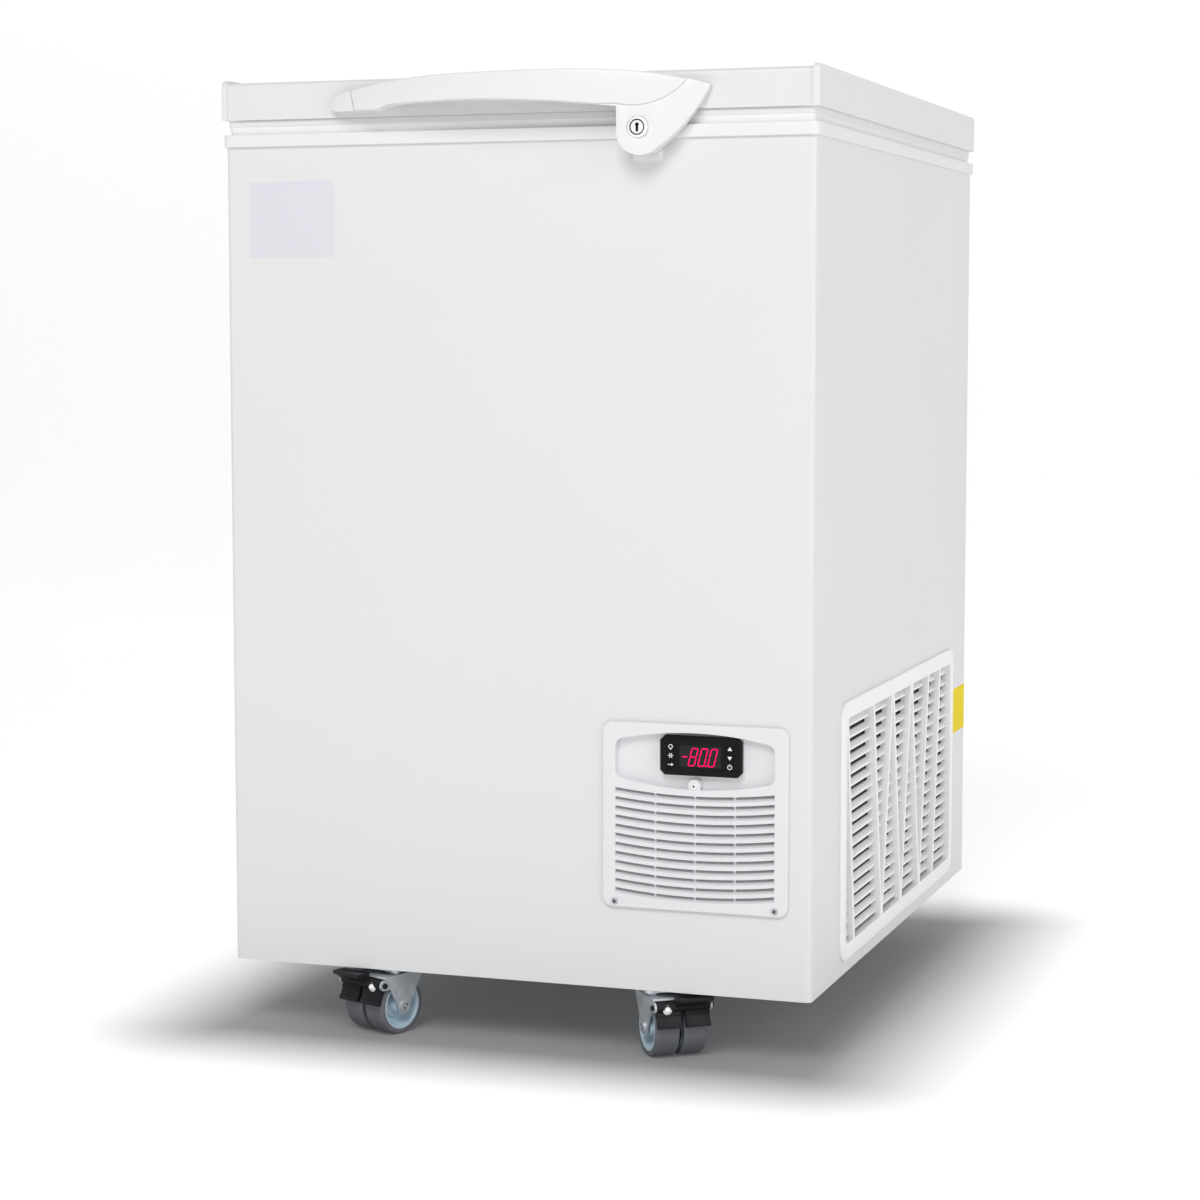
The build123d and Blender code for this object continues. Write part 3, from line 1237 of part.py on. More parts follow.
def make_lock_cam():
    """Hooked cam on the plug's tail, pointing left while the lock is open."""
    tail = Circle(LOCK_PLUG_R - PLASTIC)
    arm = Pos(-CAM_TIP_R / 2, 0) * Rectangle(CAM_TIP_R, CAM_ARM)
    arm &= Circle(CAM_TIP_R)
    ring = Circle(CAM_TIP_R) - Circle(CAM_HOOK_R)
    hook = ring & sector(180, 180 + CAM_HOOK_ANGLE, 2 * CAM_TIP_R)
    outline = tail + arm + hook
    return from_front(Pos(LOCK_X, LOCK_Z) * outline, -CAM_PLANE, -CAM_PLANE - CAM_SHEET)


def make_lock_strike():
    """Bracket on the cabinet front with a tab that the cam hooks under."""
    middle = LOCK_X + STRIKE_MIDDLE
    half = STRIKE_WIDTH / 2
    top = TRIM_Z - SEAT
    plate = between(middle - half, middle + half, FRONT - STRIKE_SHEET, FRONT, STRIKE_BOTTOM, top)
    tab = between(
        LOCK_X + STRIKE_TAB_LEFT,
        LOCK_X + STRIKE_TAB_RIGHT,
        -STRIKE_TAB_FRONT,
        FRONT,
        top - STRIKE_SHEET,
        top,
    )
    return plate + tab


# Hinges


def make_hinge_bracket(x):
    """Foot on the cabinet back with two cheeks that hold the pin."""
    wall = BACK + SHEET
    foot_top = TRIM_Z - BACK_INSET
    half = HINGE_WIDTH / 2
    foot = between(x - half, x + half, wall, wall + HINGE_SHEET, foot_top - HINGE_FOOT_DROP, foot_top)
    clear_y = LID_DEPTH / 2 + HINGE_SHEET
    outline = make_face(
        Polyline(
            (wall, foot_top - HINGE_FOOT_DROP),
            (wall, foot_top),
            (clear_y, foot_top),
            (HINGE_Y - HINGE_BARREL_R, HINGE_Z),
            (HINGE_Y + HINGE_BARREL_R, HINGE_Z),
            (HINGE_Y + HINGE_BARREL_R, foot_top - HINGE_BARREL_R),
            close=True,
        )
    )
    outline += Pos(HINGE_Y, HINGE_Z) * Circle(HINGE_BARREL_R)
    outline -= Pos(HINGE_Y, HINGE_Z) * Circle(HINGE_PIN_R + SEAT)
    bracket = foot
    inner = HINGE_KNUCKLE / 2 + FREE
    for side in (-1, 1):
        near, far = sorted((x + side * inner, x + side * (inner + HINGE_SHEET)))
        bracket += from_side(outline, near, far)
    return bracket


def make_hinge_leaf(x):
    """Leaf on the lid's back skirt, curling down to the knuckle on the pin."""
    half = HINGE_WIDTH / 2
    leaf = between(
        x - half, x + half, LID_BACK, LID_BACK + HINGE_SHEET, LID_Z + HINGE_SHEET, SHEET_TOP - HINGE_SHEET
    )
    arm = make_face(
        Polyline(
            (LID_BACK, LID_Z + HINGE_SHEET),
            (LID_BACK, LID_Z + 4 * HINGE_SHEET),
            (LID_BACK + HINGE_SHEET, LID_Z + 4 * HINGE_SHEET),
            (HINGE_Y + HINGE_BARREL_R - FREE, HINGE_Z + HINGE_BARREL_R / 3),
            (HINGE_Y, HINGE_Z),
            (HINGE_Y - HINGE_BARREL_R + FREE, HINGE_Z + HINGE_BARREL_R / 3),
            close=True,
        )
    )
    outline = arm + Pos(HINGE_Y, HINGE_Z) * Circle(HINGE_BARREL_R - FREE)
    outline -= Pos(HINGE_Y, HINGE_Z) * Circle(HINGE_PIN_R + RUNNING)
    return leaf + from_side(outline, x - HINGE_KNUCKLE / 2, x + HINGE_KNUCKLE / 2)


def make_hinge_pin(x):
    """Pin through both cheeks, with a head at each end."""
    reach = HINGE_KNUCKLE / 2 + FREE + HINGE_SHEET
    pin = rod_x(HINGE_Y, HINGE_Z, HINGE_PIN_R, x - reach - HINGE_SHEET, x + reach + HINGE_SHEET)
    for side in (-1, 1):
        near, far = sorted((x + side * reach, x + side * (reach + HINGE_SHEET)))
        pin += rod_x(HINGE_Y, HINGE_Z, HINGE_HEAD_R, near, far)
    return pin


# Casters, each built about its swivel axis with the wheels trailing towards -Y


FORK_Z = CASTER_HEIGHT - FORK_TOP_DROP
FORK_IN = WHEEL_GAP / 2 + WHEEL_WIDTH + FORK_SIDE_GAP
FORK_OUT = FORK_IN + FORK_SHEET
AXLE_Y = -CASTER_TRAIL
PIVOT_Y = AXLE_Y - BRAKE_PIVOT_OUT
PIVOT_Z = WHEEL_R + BRAKE_PIVOT_UP


def make_wheel():
    """Hub with a web and its tyre, about the X axis, from x = 0 to its width."""
    rim_out = WHEEL_R - TYRE_THICK
    rim_in = rim_out - HUB_RIM
    web_low = (WHEEL_WIDTH - HUB_WEB) / 2
    web_high = web_low + HUB_WEB
    half = Polyline(
        (0, AXLE_R + RUNNING),
        (0, HUB_BOSS_R),
        (web_low, HUB_BOSS_R),
        (web_low, rim_in),
        (0, rim_in),
        (0, rim_out),
        (WHEEL_WIDTH, rim_out),
        (WHEEL_WIDTH, rim_in),
        (web_high, rim_in),
        (web_high, HUB_BOSS_R),
        (WHEEL_WIDTH, HUB_BOSS_R),
        (WHEEL_WIDTH, AXLE_R + RUNNING),
        close=True,
    )
    hub = revolve(make_face(half), Axis.X)
    band = Pos(WHEEL_WIDTH / 2, rim_out + TYRE_THICK / 2) * Rectangle(WHEEL_WIDTH, TYRE_THICK)
    band = fillet(band.vertices().group_by(Axis.Y)[-1], TYRE_ROUND)
    return hub, revolve(band, Axis.X)


def make_fork():
    """U-shaped fork with tapering cheeks, and the axle riveted through it."""
    cheek = make_face(
        Polyline(
            (AXLE_Y - FORK_HALF_TOP, FORK_Z),
            (AXLE_Y + FORK_HALF_TOP, FORK_Z),
            (AXLE_Y + FORK_EAR_R, WHEEL_R),
            (AXLE_Y - FORK_EAR_R, WHEEL_R),
            close=True,
        )
    )
    cheek += Pos(AXLE_Y, WHEEL_R) * Circle(FORK_EAR_R)
    low = PIVOT_Z - BRAKE_BOSS_R
    high = PIVOT_Z + BRAKE_BOSS_R
    lug = Polyline((PIVOT_Y, low), (AXLE_Y, low), (AXLE_Y, high), (PIVOT_Y, high), close=True)
    cheek += make_face(lug)
    cheek += Pos(PIVOT_Y, PIVOT_Z) * Circle(BRAKE_BOSS_R)
    bridge = between(
        -FORK_OUT, FORK_OUT, AXLE_Y - FORK_HALF_TOP, AXLE_Y + FORK_HALF_TOP, FORK_Z - FORK_SHEET, FORK_Z
    )
    crown = rod_z(0, 0, RACE_R, FORK_Z - FORK_SHEET, FORK_Z)
    fork = bridge + crown
    fork += from_side(cheek, -FORK_OUT, -FORK_IN)
    fork += from_side(cheek, FORK_IN, FORK_OUT)
    fork -= rod_z(0, 0, KINGPIN_R + RUNNING, 0, CASTER_HEIGHT)
    fork -= rod_x(AXLE_Y, WHEEL_R, AXLE_R + SEAT, -FORK_OUT - SHEET, FORK_OUT + SHEET)
    fork -= rod_x(PIVOT_Y, PIVOT_Z, BRAKE_PIN_R + RUNNING, -FORK_OUT - SHEET, FORK_OUT + SHEET)
    axle = rod_x(AXLE_Y, WHEEL_R, AXLE_R, -FORK_OUT, FORK_OUT)
    for near, far in ((-FORK_OUT - FORK_SHEET, -FORK_OUT), (FORK_OUT, FORK_OUT + FORK_SHEET)):
        axle += rod_x(AXLE_Y, WHEEL_R, AXLE_HEAD_R, near, far)
    return fork, axle


def on_wheel(radius, angle):
    """Place at a radius and angle round the axle, in Y and Z."""
    turn = math.radians(angle)
    return AXLE_Y + radius * math.cos(turn), WHEEL_R + radius * math.sin(turn)


def shoe_band(inner, outer, start, stop):
    """Part of a ring round the axle, in Y and Z."""
    band = (Circle(outer) - Circle(inner)) & sector(start, stop, 2 * outer)
    return Pos(AXLE_Y, WHEEL_R) * band


def make_brake(side):
    """Foot brake: pedal lip and curved apron on one side, and a ridged shoe bar before both treads."""
    half = FORK_IN - FREE
    inner_r = WHEEL_R + BRAKE_SHOE_GAP
    outer_r = inner_r + BRAKE_SHOE_THICK
    bar = shoe_band(inner_r, outer_r, BRAKE_SHOE_FROM, BRAKE_SHOE_TO)
    for start in (BRAKE_SHOE_FROM, BRAKE_SHOE_TO - BRAKE_RIDGE_ANGLE):
        bar += shoe_band(inner_r, outer_r + BRAKE_RIDGE, start, start + BRAKE_RIDGE_ANGLE)
    front = on_wheel(outer_r, BRAKE_SHOE_FROM + BRAKE_RIDGE_ANGLE / 2)
    back = on_wheel(inner_r, BRAKE_SHOE_FROM + BRAKE_RIDGE_ANGLE / 2)
    behind = (PIVOT_Y + BRAKE_BOSS_R, PIVOT_Z)
    web = make_face(Polyline(back, behind, (PIVOT_Y - BRAKE_BOSS_R, PIVOT_Z), front, close=True))
    boss = Pos(PIVOT_Y, PIVOT_Z) * Circle(BRAKE_BOSS_R)
    rise_y = AXLE_Y - FORK_HALF_TOP - 2 * FREE
    tip_y = PIVOT_Y - PEDAL_LENGTH
    lip = CASTER_HEIGHT - PEDAL_DROP
    under = (tip_y, lip - PEDAL_SHEET)
    edge = Polyline(back, behind, (rise_y, PIVOT_Z + BRAKE_BOSS_R), (rise_y, lip), (tip_y, lip), under)
    curve = ThreePointArc(edge @ 1, (PIVOT_Y - PEDAL_CURVE_OUT, PIVOT_Z + PEDAL_CURVE_RISE), front)
    apron = make_face([edge, curve, Line(front, back)])
    near, far = sorted((side * half, side * (half - PEDAL_WIDTH)))
    lever = from_side(web + boss + bar, -half, half) + from_side(apron, near, far)
    low_z = on_wheel(outer_r, BRAKE_SHOE_FROM)[1]
    lever -= between(-WHEEL_GAP / 2, WHEEL_GAP / 2, tip_y, AXLE_Y, 0, low_z)
    pin = rod_x(PIVOT_Y, PIVOT_Z, BRAKE_PIN_R, -FORK_OUT - FORK_SHEET, FORK_OUT + FORK_SHEET)
    return lever + pin


def make_caster_plate():
    """Top plate with its race, king pin and four bolt heads."""
    low = CASTER_HEIGHT - PLATE_SHEET
    plate = upright(RectangleRounded(PLATE_SIZE, PLATE_SIZE, BOLT_R), low, CASTER_HEIGHT)
    race = rod_z(0, 0, RACE_R, FORK_Z + SEAT, low)
    pin = rod_z(0, 0, KINGPIN_R, FORK_Z - 2 * FORK_SHEET, low)
    head = rod_z(0, 0, KINGPIN_HEAD_R, FORK_Z - 2 * FORK_SHEET - SEAT, FORK_Z - FORK_SHEET - SEAT)
    reach = PLATE_SIZE / 2 - 2 * BOLT_R
    bolts = [
        Pos(sx * reach, sy * reach, low - BOLT_HEAD)
        * extrude(RegularPolygon(BOLT_R, 6), BOLT_HEAD)
        for sx in (-1, 1)
        for sy in (-1, 1)
    ]
    return plate + race + pin + head + bolts


CASTERS = {
    "front_left": (-CASTER_X, -CASTER_Y, -TOE_LEFT),
    "front_right": (CASTER_X, -CASTER_Y, TOE_RIGHT),
    "rear_left": (-CASTER_X, CASTER_Y, 180 + TOE_LEFT),
    "rear_right": (CASTER_X, CASTER_Y, 180 - TOE_RIGHT),
}


def save_casters():
    """Four casters, braked at the front."""
    plates = []
    hub, tyre = make_wheel()
    fork = make_fork()
    brakes = {"front_left": make_brake(-1), "front_right": make_brake(1)}
    plate = make_caster_plate()
    for name, (x, y, turn) in CASTERS.items():
        place = Pos(x, y, 0) * Rot(0, 0, turn)
        plates.append(place * plate)
        save(f"fork_{name}", *[place * solid for solid in fork])
        for side, low in (("inner", WHEEL_GAP / 2), ("outer", -WHEEL_GAP / 2 - WHEEL_WIDTH)):
            spot = place * Pos(low, AXLE_Y, WHEEL_R)
            save(f"wheel_{name}_{side}", spot * hub, spot * tyre)
        if name in brakes:
            save(f"brake_{name}", place * brakes[name])
    save("caster_plates", *plates)


def main():
    os.makedirs("parts", exist_ok=True)
    save("cabinet_wrap", make_cabinet_wrap())
    save("back_panel", make_back_panel())
    save("base_pan", make_base_pan())
    save("step_panel", make_step_panel())
    save("inner_liner", make_inner_liner())
    save("insulation_foam", make_insulation_foam())
    save("top_frame", make_top_frame())
    save("front_panel", make_front_panel())
    save("panel_screws", *make_panel_screws())
    save("controller_body", make_controller_body())
    save("display_window", make_display_window())
    for name, (x, z) in key_places().items():
        save(name, make_key(x, z))
    save("side_grille", make_side_grille())
    save("machine_cover", make_machine_cover())
    save("cord_gland", make_cord_gland())
    save("compressor", make_compressor())
    save("compressor_grommets", *make_compressor_grommets())
    save("condenser", make_condenser())
    save("fan_shroud", make_fan_shroud())
    save("fan_motor", make_fan_motor())
    save("fan_blades", make_fan_blades())
    save("filter_drier", make_filter_drier())
    save("refrigerant_lines", *make_refrigerant_lines())
    save("evaporator_coil", make_evaporator_coil())
    save("lid_wrap", make_lid_wrap())
    save("lid_left_cap", make_lid_cap(-1))
    save("lid_right_cap", make_lid_cap(1))
    save("lid_liner", make_lid_liner())
    save("lid_foam", make_lid_foam())
    save("lid_gasket", make_lid_gasket())
    base, cover = make_handle()
    save("handle_base", base)
    save("handle_cover", cover)
    save("lock_body", make_lock_body())
    save("lock_plug", make_lock_plug())
    save("lock_cam", make_lock_cam())
    save("lock_strike", make_lock_strike())
    save("hinge_brackets", make_hinge_bracket(-HINGE_X), make_hinge_bracket(HINGE_X))
    save("hinge_leaves", make_hinge_leaf(-HINGE_X), make_hinge_leaf(HINGE_X))
    save("hinge_pins", make_hinge_pin(-HINGE_X), make_hinge_pin(HINGE_X))
    save_casters()


main()
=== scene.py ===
# %% [markdown]
# Chest freezer on casters: the looks
#
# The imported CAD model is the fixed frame: every panel, hinge and wheel is already in its place.
# This lesson gives each piece its finish, softens the mouldings, and adds the small things that the
# CAD leaves out: the lit digits, the key symbols, screws, bare labels and detailed wheels.

import json
import math

import bmesh
import bpy
from mathutils import Matrix, Vector


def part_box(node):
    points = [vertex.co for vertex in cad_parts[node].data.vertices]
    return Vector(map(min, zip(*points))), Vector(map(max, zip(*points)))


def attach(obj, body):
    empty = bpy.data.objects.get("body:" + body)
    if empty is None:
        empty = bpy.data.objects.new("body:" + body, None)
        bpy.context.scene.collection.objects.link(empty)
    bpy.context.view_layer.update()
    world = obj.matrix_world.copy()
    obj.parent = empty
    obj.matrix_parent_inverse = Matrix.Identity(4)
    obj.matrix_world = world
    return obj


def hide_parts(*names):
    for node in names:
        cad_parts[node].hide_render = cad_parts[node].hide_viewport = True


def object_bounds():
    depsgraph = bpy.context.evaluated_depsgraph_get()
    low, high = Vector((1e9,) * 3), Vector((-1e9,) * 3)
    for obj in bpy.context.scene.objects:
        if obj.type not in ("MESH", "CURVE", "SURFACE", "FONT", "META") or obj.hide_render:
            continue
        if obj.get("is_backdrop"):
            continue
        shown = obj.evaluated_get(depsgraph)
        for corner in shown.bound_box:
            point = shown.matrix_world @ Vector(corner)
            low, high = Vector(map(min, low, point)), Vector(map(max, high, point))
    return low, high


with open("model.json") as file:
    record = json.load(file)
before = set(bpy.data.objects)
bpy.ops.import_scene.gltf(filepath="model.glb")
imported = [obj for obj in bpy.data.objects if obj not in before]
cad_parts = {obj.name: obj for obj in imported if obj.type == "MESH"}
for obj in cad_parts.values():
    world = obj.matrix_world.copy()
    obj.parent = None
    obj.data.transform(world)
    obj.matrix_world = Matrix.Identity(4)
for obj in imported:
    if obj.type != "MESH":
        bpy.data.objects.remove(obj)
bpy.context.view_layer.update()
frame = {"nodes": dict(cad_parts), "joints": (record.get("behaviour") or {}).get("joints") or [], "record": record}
nodes = frame["nodes"]
bodies = frame["record"]["behaviour"]["bodies"]
body_of = {node: body for body, members in bodies.items() for node in members}
slot_of = {row["node"]: row["material_slot"] for row in frame["record"]["subparts"]}
joint_of = {joint["child"]: joint for joint in frame["joints"]}
MM = 0.001

# %% [markdown]
# Shader maths reads best as plain sums. A small class wraps a socket, and each operator adds one Math
# node. Everything else goes through one method that makes a node, sets it and links it.


# %% Sockets that can be added and multiplied
class Wire:
    """An output socket. Arithmetic on it adds Math nodes to the finish that it belongs to."""

    def __init__(self, finish, socket):
        self.finish = finish
        self.socket = socket

    def maths(self, operation, first, second):
        return self.finish.node("ShaderNodeMath", {"operation": operation}, {0: first, 1: second})

    def __add__(self, other):
        return self.maths("ADD", self, other)

    def __sub__(self, other):
        return self.maths("SUBTRACT", self, other)

    def __rsub__(self, other):
        return self.maths("SUBTRACT", other, self)

    def __mul__(self, other):
        return self.maths("MULTIPLY", self, other)

    __radd__ = __add__
    __rmul__ = __mul__


# %% A finish: one material built from nodes
class Finish:
    """A material with a node tree of its own and one Principled surface."""

    def __init__(self, name):
        self.material = bpy.data.materials.new(name)
        self.material.use_nodes = True
        self.tree = self.material.node_tree
        self.tree.nodes.clear()

    def node(self, kind, settings=None, sockets=None, output=0):
        made = self.tree.nodes.new(kind)
        for key, value in (settings or {}).items():
            setattr(made, key, value)
        for key, value in (sockets or {}).items():
            if isinstance(value, Wire):
                self.tree.links.new(value.socket, made.inputs[key])
            else:
                made.inputs[key].default_value = value
        return Wire(self, made.outputs[output])

    def place(self):
        return self.node("ShaderNodeTexCoord", output="Object")

    def fade(self, axis, start, stop):
        """Runs from 0 to 1 between two places on one axis, in metres."""
        along = self.node("ShaderNodeSeparateXYZ", sockets={0: self.place()}, output=axis)
        span = {"Value": along, "From Min": start, "From Max": stop}
        return self.node("ShaderNodeMapRange", sockets=span)

    def noise(self, scale, detail=2.0, stretch=(1, 1, 1)):
        spot = self.node("ShaderNodeMapping", sockets={"Vector": self.place(), "Scale": stretch})
        grain = {"Vector": spot, "Scale": scale, "Detail": detail}
        return self.node("ShaderNodeTexNoise", sockets=grain)

    def cells(self, scale, output="Color"):
        spots = {"Vector": self.place(), "Scale": scale}
        return self.node("ShaderNodeTexVoronoi", sockets=spots, output=output)

    def mix(self, share, first, second):
        colours = {0: share, 6: first, 7: second}
        return self.node("ShaderNodeMix", {"data_type": "RGBA"}, colours, output=2)

    def bump(self, height, strength, distance):
        relief = {"Height": height, "Strength": strength, "Distance": distance}
        return self.node("ShaderNodeBump", sockets=relief)

    def surface(self, **sockets):
        named = {key.replace("_", " "): value for key, value in sockets.items()}
        shader = self.node("ShaderNodeBsdfPrincipled", sockets=named)
        end = self.tree.nodes.new("ShaderNodeOutputMaterial")
        self.tree.links.new(shader.socket, end.inputs["Surface"])
        return self.material


def rgba(red, green, blue):
    return (red, green, blue, 1.0)


print("shader helpers ready")

# %% [markdown]
# The cabinet and the lid are powder-coated sheet steel. A coat of powder melts into a film with a very
# fine orange-peel ripple, so the highlight is broad and slightly uneven. Two noises do it: a small one
# for the ripple and a large one that moves the gloss a little.


# %% Painted sheet
def coated_sheet(name, colour, shade, gloss):
    finish = Finish(name)
    drift = finish.noise(3.0)
    ripple = finish.noise(700.0, 3.0)
    return finish.surface(
        Base_Color=finish.mix(drift, rgba(*colour), rgba(*shade)),
        Roughness=gloss + 0.08 * drift,
        Normal=finish.bump(ripple, 0.12, 0.00012),
        Coat_Weight=0.2,
        Coat_Roughness=0.25,
    )


finish_of = {
    "white_paint": coated_sheet("white_paint", (0.69, 0.692, 0.695), (0.67, 0.672, 0.676), 0.36),
    "liner_steel": coated_sheet("liner_paint", (0.74, 0.75, 0.76), (0.7, 0.71, 0.72), 0.24),
    "black_steel": coated_sheet("compressor_enamel", (0.012, 0.012, 0.013), (0.02, 0.02, 0.021), 0.2),
}
print("painted sheets:", list(finish_of))

# %% [markdown]
# The trim, the grilles and the handle are injection-moulded in a slightly cooler white. Moulded
# plastic copies the fine spark grain of its steel tool, so the bump is smaller and sharper than on
# the paint. The same recipe in black serves the controller, the gland and the fan. Deep between the
# slats of the side grille hardly any light comes back, so there the colour fades to near black.


# %% Moulded plastics
def moulded(name, colour, shade, gloss, grain=0.1, shine=0.5, deep=()):
    """A moulded plastic. Each row of deep is an axis, where a fade starts and stops, and the grey of its painted
    shade.
    """
    finish = Finish(name)
    drift = finish.noise(6.0)
    spark = finish.noise(2600.0, 2.0)
    base = finish.mix(drift, rgba(*colour), rgba(*shade))
    for axis, start, stop, dark in deep:
        base = finish.mix(finish.fade(axis, start, stop), base, rgba(dark, dark, dark))
    return finish.surface(
        Base_Color=base,
        Roughness=gloss + 0.1 * drift + 0.04 * spark,
        Normal=finish.bump(spark, grain, 0.00006),
        Specular_IOR_Level=shine,
    )


finish_of["white_plastic"] = moulded("white_moulding", (0.7, 0.705, 0.71), (0.68, 0.685, 0.69), 0.3)
finish_of["black_plastic"] = moulded(
    "black_moulding", (0.008, 0.008, 0.01), (0.014, 0.014, 0.017), 0.34, grain=0.2, shine=0.25
)
finish_of["black_gloss"] = moulded(
    "bezel_black", (0.003, 0.003, 0.003), (0.005, 0.005, 0.005), 0.3, grain=0.04, shine=0.15
)
finish_of["seal_rubber"] = moulded("seal_white", (0.82, 0.825, 0.83), (0.78, 0.785, 0.79), 0.5, grain=0.2)
finish_of["black_rubber"] = moulded("foot_rubber", (0.015, 0.015, 0.015), (0.03, 0.03, 0.03), 0.6, grain=0.4)
trim_white = moulded("trim_white", (0.73, 0.735, 0.75), (0.71, 0.715, 0.73), 0.3)
handle_white = moulded("handle_white", (0.72, 0.724, 0.73), (0.7, 0.704, 0.71), 0.3)
smoked_window = moulded(
    "smoked_window", (0.012, 0.012, 0.013), (0.016, 0.015, 0.016), 0.25, grain=0.0, shine=0.2
)
key_black = moulded("key_black", (0.003, 0.003, 0.003), (0.005, 0.005, 0.005), 0.35, shine=0.15)
side_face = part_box("cabinet_wrap")[1].x
# Painted shade: past a depth between the side grille's slats the colour fades to near black.
SLIT_START, SLIT_STOP, SLIT_SHADE_GREY = 7 * MM, 8 * MM, 0.004
slit_shade = ("X", side_face - SLIT_START, side_face - SLIT_STOP, SLIT_SHADE_GREY)
grille_white = moulded("grille_white", (0.86, 0.865, 0.87), (0.84, 0.845, 0.85), 0.3, deep=[slit_shade])
panel_white = moulded("panel_white", (0.71, 0.715, 0.73), (0.69, 0.695, 0.71), 0.3)
print("moulded plastics:", len(finish_of))

# %% [markdown]
# Zinc on the casters and brackets shows a faint crystal pattern called spangle: Voronoi cells with a
# slightly different grey and gloss in each. Chrome and aluminium only need fine streaks, and copper
# goes brown in blotches where it was brazed and handled.


# %% Metals
def zinc_plate():
    finish = Finish("zinc_plate")
    spangle = finish.cells(160.0)
    haze = finish.noise(40.0, 4.0)
    grey = finish.node("ShaderNodeRGBToBW", sockets={0: spangle})
    return finish.surface(
        Base_Color=finish.mix(grey, rgba(0.53, 0.565, 0.6), rgba(0.65, 0.685, 0.72)),
        Metallic=0.6,
        Roughness=0.3 + 0.12 * grey + 0.1 * haze,
        Normal=finish.bump(haze, 0.1, 0.0001),
    )


def streaked_metal(name, colour, shade, gloss, stretch, metal=1.0):
    finish = Finish(name)
    streak = finish.noise(60.0, 4.0, stretch)
    return finish.surface(
        Base_Color=finish.mix(streak, rgba(*colour), rgba(*shade)),
        Metallic=metal,
        Roughness=gloss + 0.14 * streak,
        Normal=finish.bump(streak, 0.06, 0.00005),
    )


def aged_copper():
    finish = Finish("aged_copper")
    blotch = finish.noise(30.0, 5.0)
    span = {"Value": blotch, "From Min": 0.45, "From Max": 0.7}
    brown = finish.node("ShaderNodeMapRange", sockets=span)
    return finish.surface(
        Base_Color=finish.mix(brown, rgba(0.72, 0.36, 0.22), rgba(0.3, 0.13, 0.07)),
        Metallic=1.0,
        Roughness=0.25 + 0.25 * brown,
        Normal=finish.bump(blotch, 0.08, 0.0001),
    )


finish_of["zinc_steel"] = zinc_plate()
finish_of["chrome"] = streaked_metal(
    "lock_chrome", (0.97, 0.97, 0.97), (0.93, 0.93, 0.94), 0.12, (1, 8, 1), metal=0.3
)
finish_of["aluminium"] = streaked_metal(
    "tube_aluminium", (0.78, 0.79, 0.8), (0.62, 0.63, 0.64), 0.3, (1, 1, 12)
)
finish_of["copper"] = aged_copper()
strike_zinc = streaked_metal(
    "strike_zinc", (0.95, 0.95, 0.96), (0.8, 0.8, 0.82), 0.25, (8, 1, 1), metal=0.3
)
LOW_SCREW_ZONE = 40 * MM


def panel_screw():
    """Grey metal for the two low screws and white for the one in the boss above them."""
    finish = Finish("panel_screw")
    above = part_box("panel_screws")[0].z + LOW_SCREW_ZONE
    white = finish.fade("Z", above, above + MM)
    wear = finish.noise(300.0, 3.0)
    return finish.surface(
        Base_Color=finish.mix(white, rgba(0.5, 0.5, 0.53), rgba(0.8, 0.81, 0.82)),
        Metallic=1.0 - white,
        Roughness=0.3 + 0.2 * wear,
        Normal=finish.bump(wear, 0.1, 0.0001),
    )


print("metals ready")

# %% [markdown]
# Rigid foam shows only if the shell comes off: pale yellow with small closed cells. Its skin along the
# back sheet takes the colour of the sealing paint, which shows as a hair line under the trim.
# The wheels have a grey polyurethane tread, a little mottled, on a pale blue-grey hub.


# %% Foam, tread and hub
FOAM_SKIN = 4 * MM


def cell_foam():
    finish = Finish("rigid_foam")
    bubble = finish.cells(500.0, "Distance")
    tint = finish.noise(12.0)
    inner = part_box("insulation_foam")[1].y - FOAM_SKIN
    skin = finish.fade("Y", inner, inner + MM)
    yellow = finish.mix(tint, rgba(0.78, 0.66, 0.38), rgba(0.7, 0.57, 0.3))
    return finish.surface(
        Base_Color=finish.mix(skin, yellow, rgba(0.66, 0.665, 0.67)),
        Roughness=0.8 + 0.15 * bubble,
        Normal=finish.bump(bubble, 0.5, 0.0006),
    )


def rolled_tread():
    finish = Finish("rolled_tread")
    mottle = finish.noise(220.0, 4.0)
    dust = finish.noise(45.0, 3.0)
    return finish.surface(
        Base_Color=finish.mix(dust, rgba(0.11, 0.113, 0.135), rgba(0.172, 0.176, 0.205)),
        Roughness=0.42 + 0.2 * mottle,
        Normal=finish.bump(mottle, 0.25, 0.0002),
    )


finish_of["foam"] = cell_foam()
finish_of["wheel_grey"] = rolled_tread()
hub_grey = moulded("hub_grey", (0.52, 0.65, 0.74), (0.44, 0.57, 0.66), 0.3, grain=0.15)
print("foam, tread and hub ready")

# %% [markdown]
# Every CAD node now takes the finish of its record slot, and a few take a closer one of their own:
# the trim ring is a shade cooler than the lid, the window is smoked, and the keys are satin black.

# %% Dress the CAD nodes
own_finish = {
    "top_frame": trim_white,
    "display_window": smoked_window,
    "side_grille": grille_white,
    "lock_strike": strike_zinc,
    "panel_screws": panel_screw(),
    "front_panel": panel_white,
    "handle_base": handle_white,
    "handle_cover": handle_white,
}
own_finish |= {node: key_black for node in nodes if node.startswith("key_")}
for node, piece in nodes.items():
    piece.data.materials.clear()
    piece.data.materials.append(own_finish.get(node, finish_of[slot_of[node]]))
print("dressed", len(nodes), "nodes")

# %% [markdown]
# Mouldings have no sharp edges: a steel tool always leaves a small radius, and that radius catches
# the light. The CAD keeps them crisp, so a copy of each one is welded, cleaned of its flat triangles
# and given a Bevel modifier. The copy then stands for the CAD node on the same body. On the front
# panel the short ribs stand back behind the slats, so a Boolean first takes their noses off. The
# corners of its recess get a wide round of their own, and its rim is rounder than the other edges: an
# edge weight tells the modifier so.


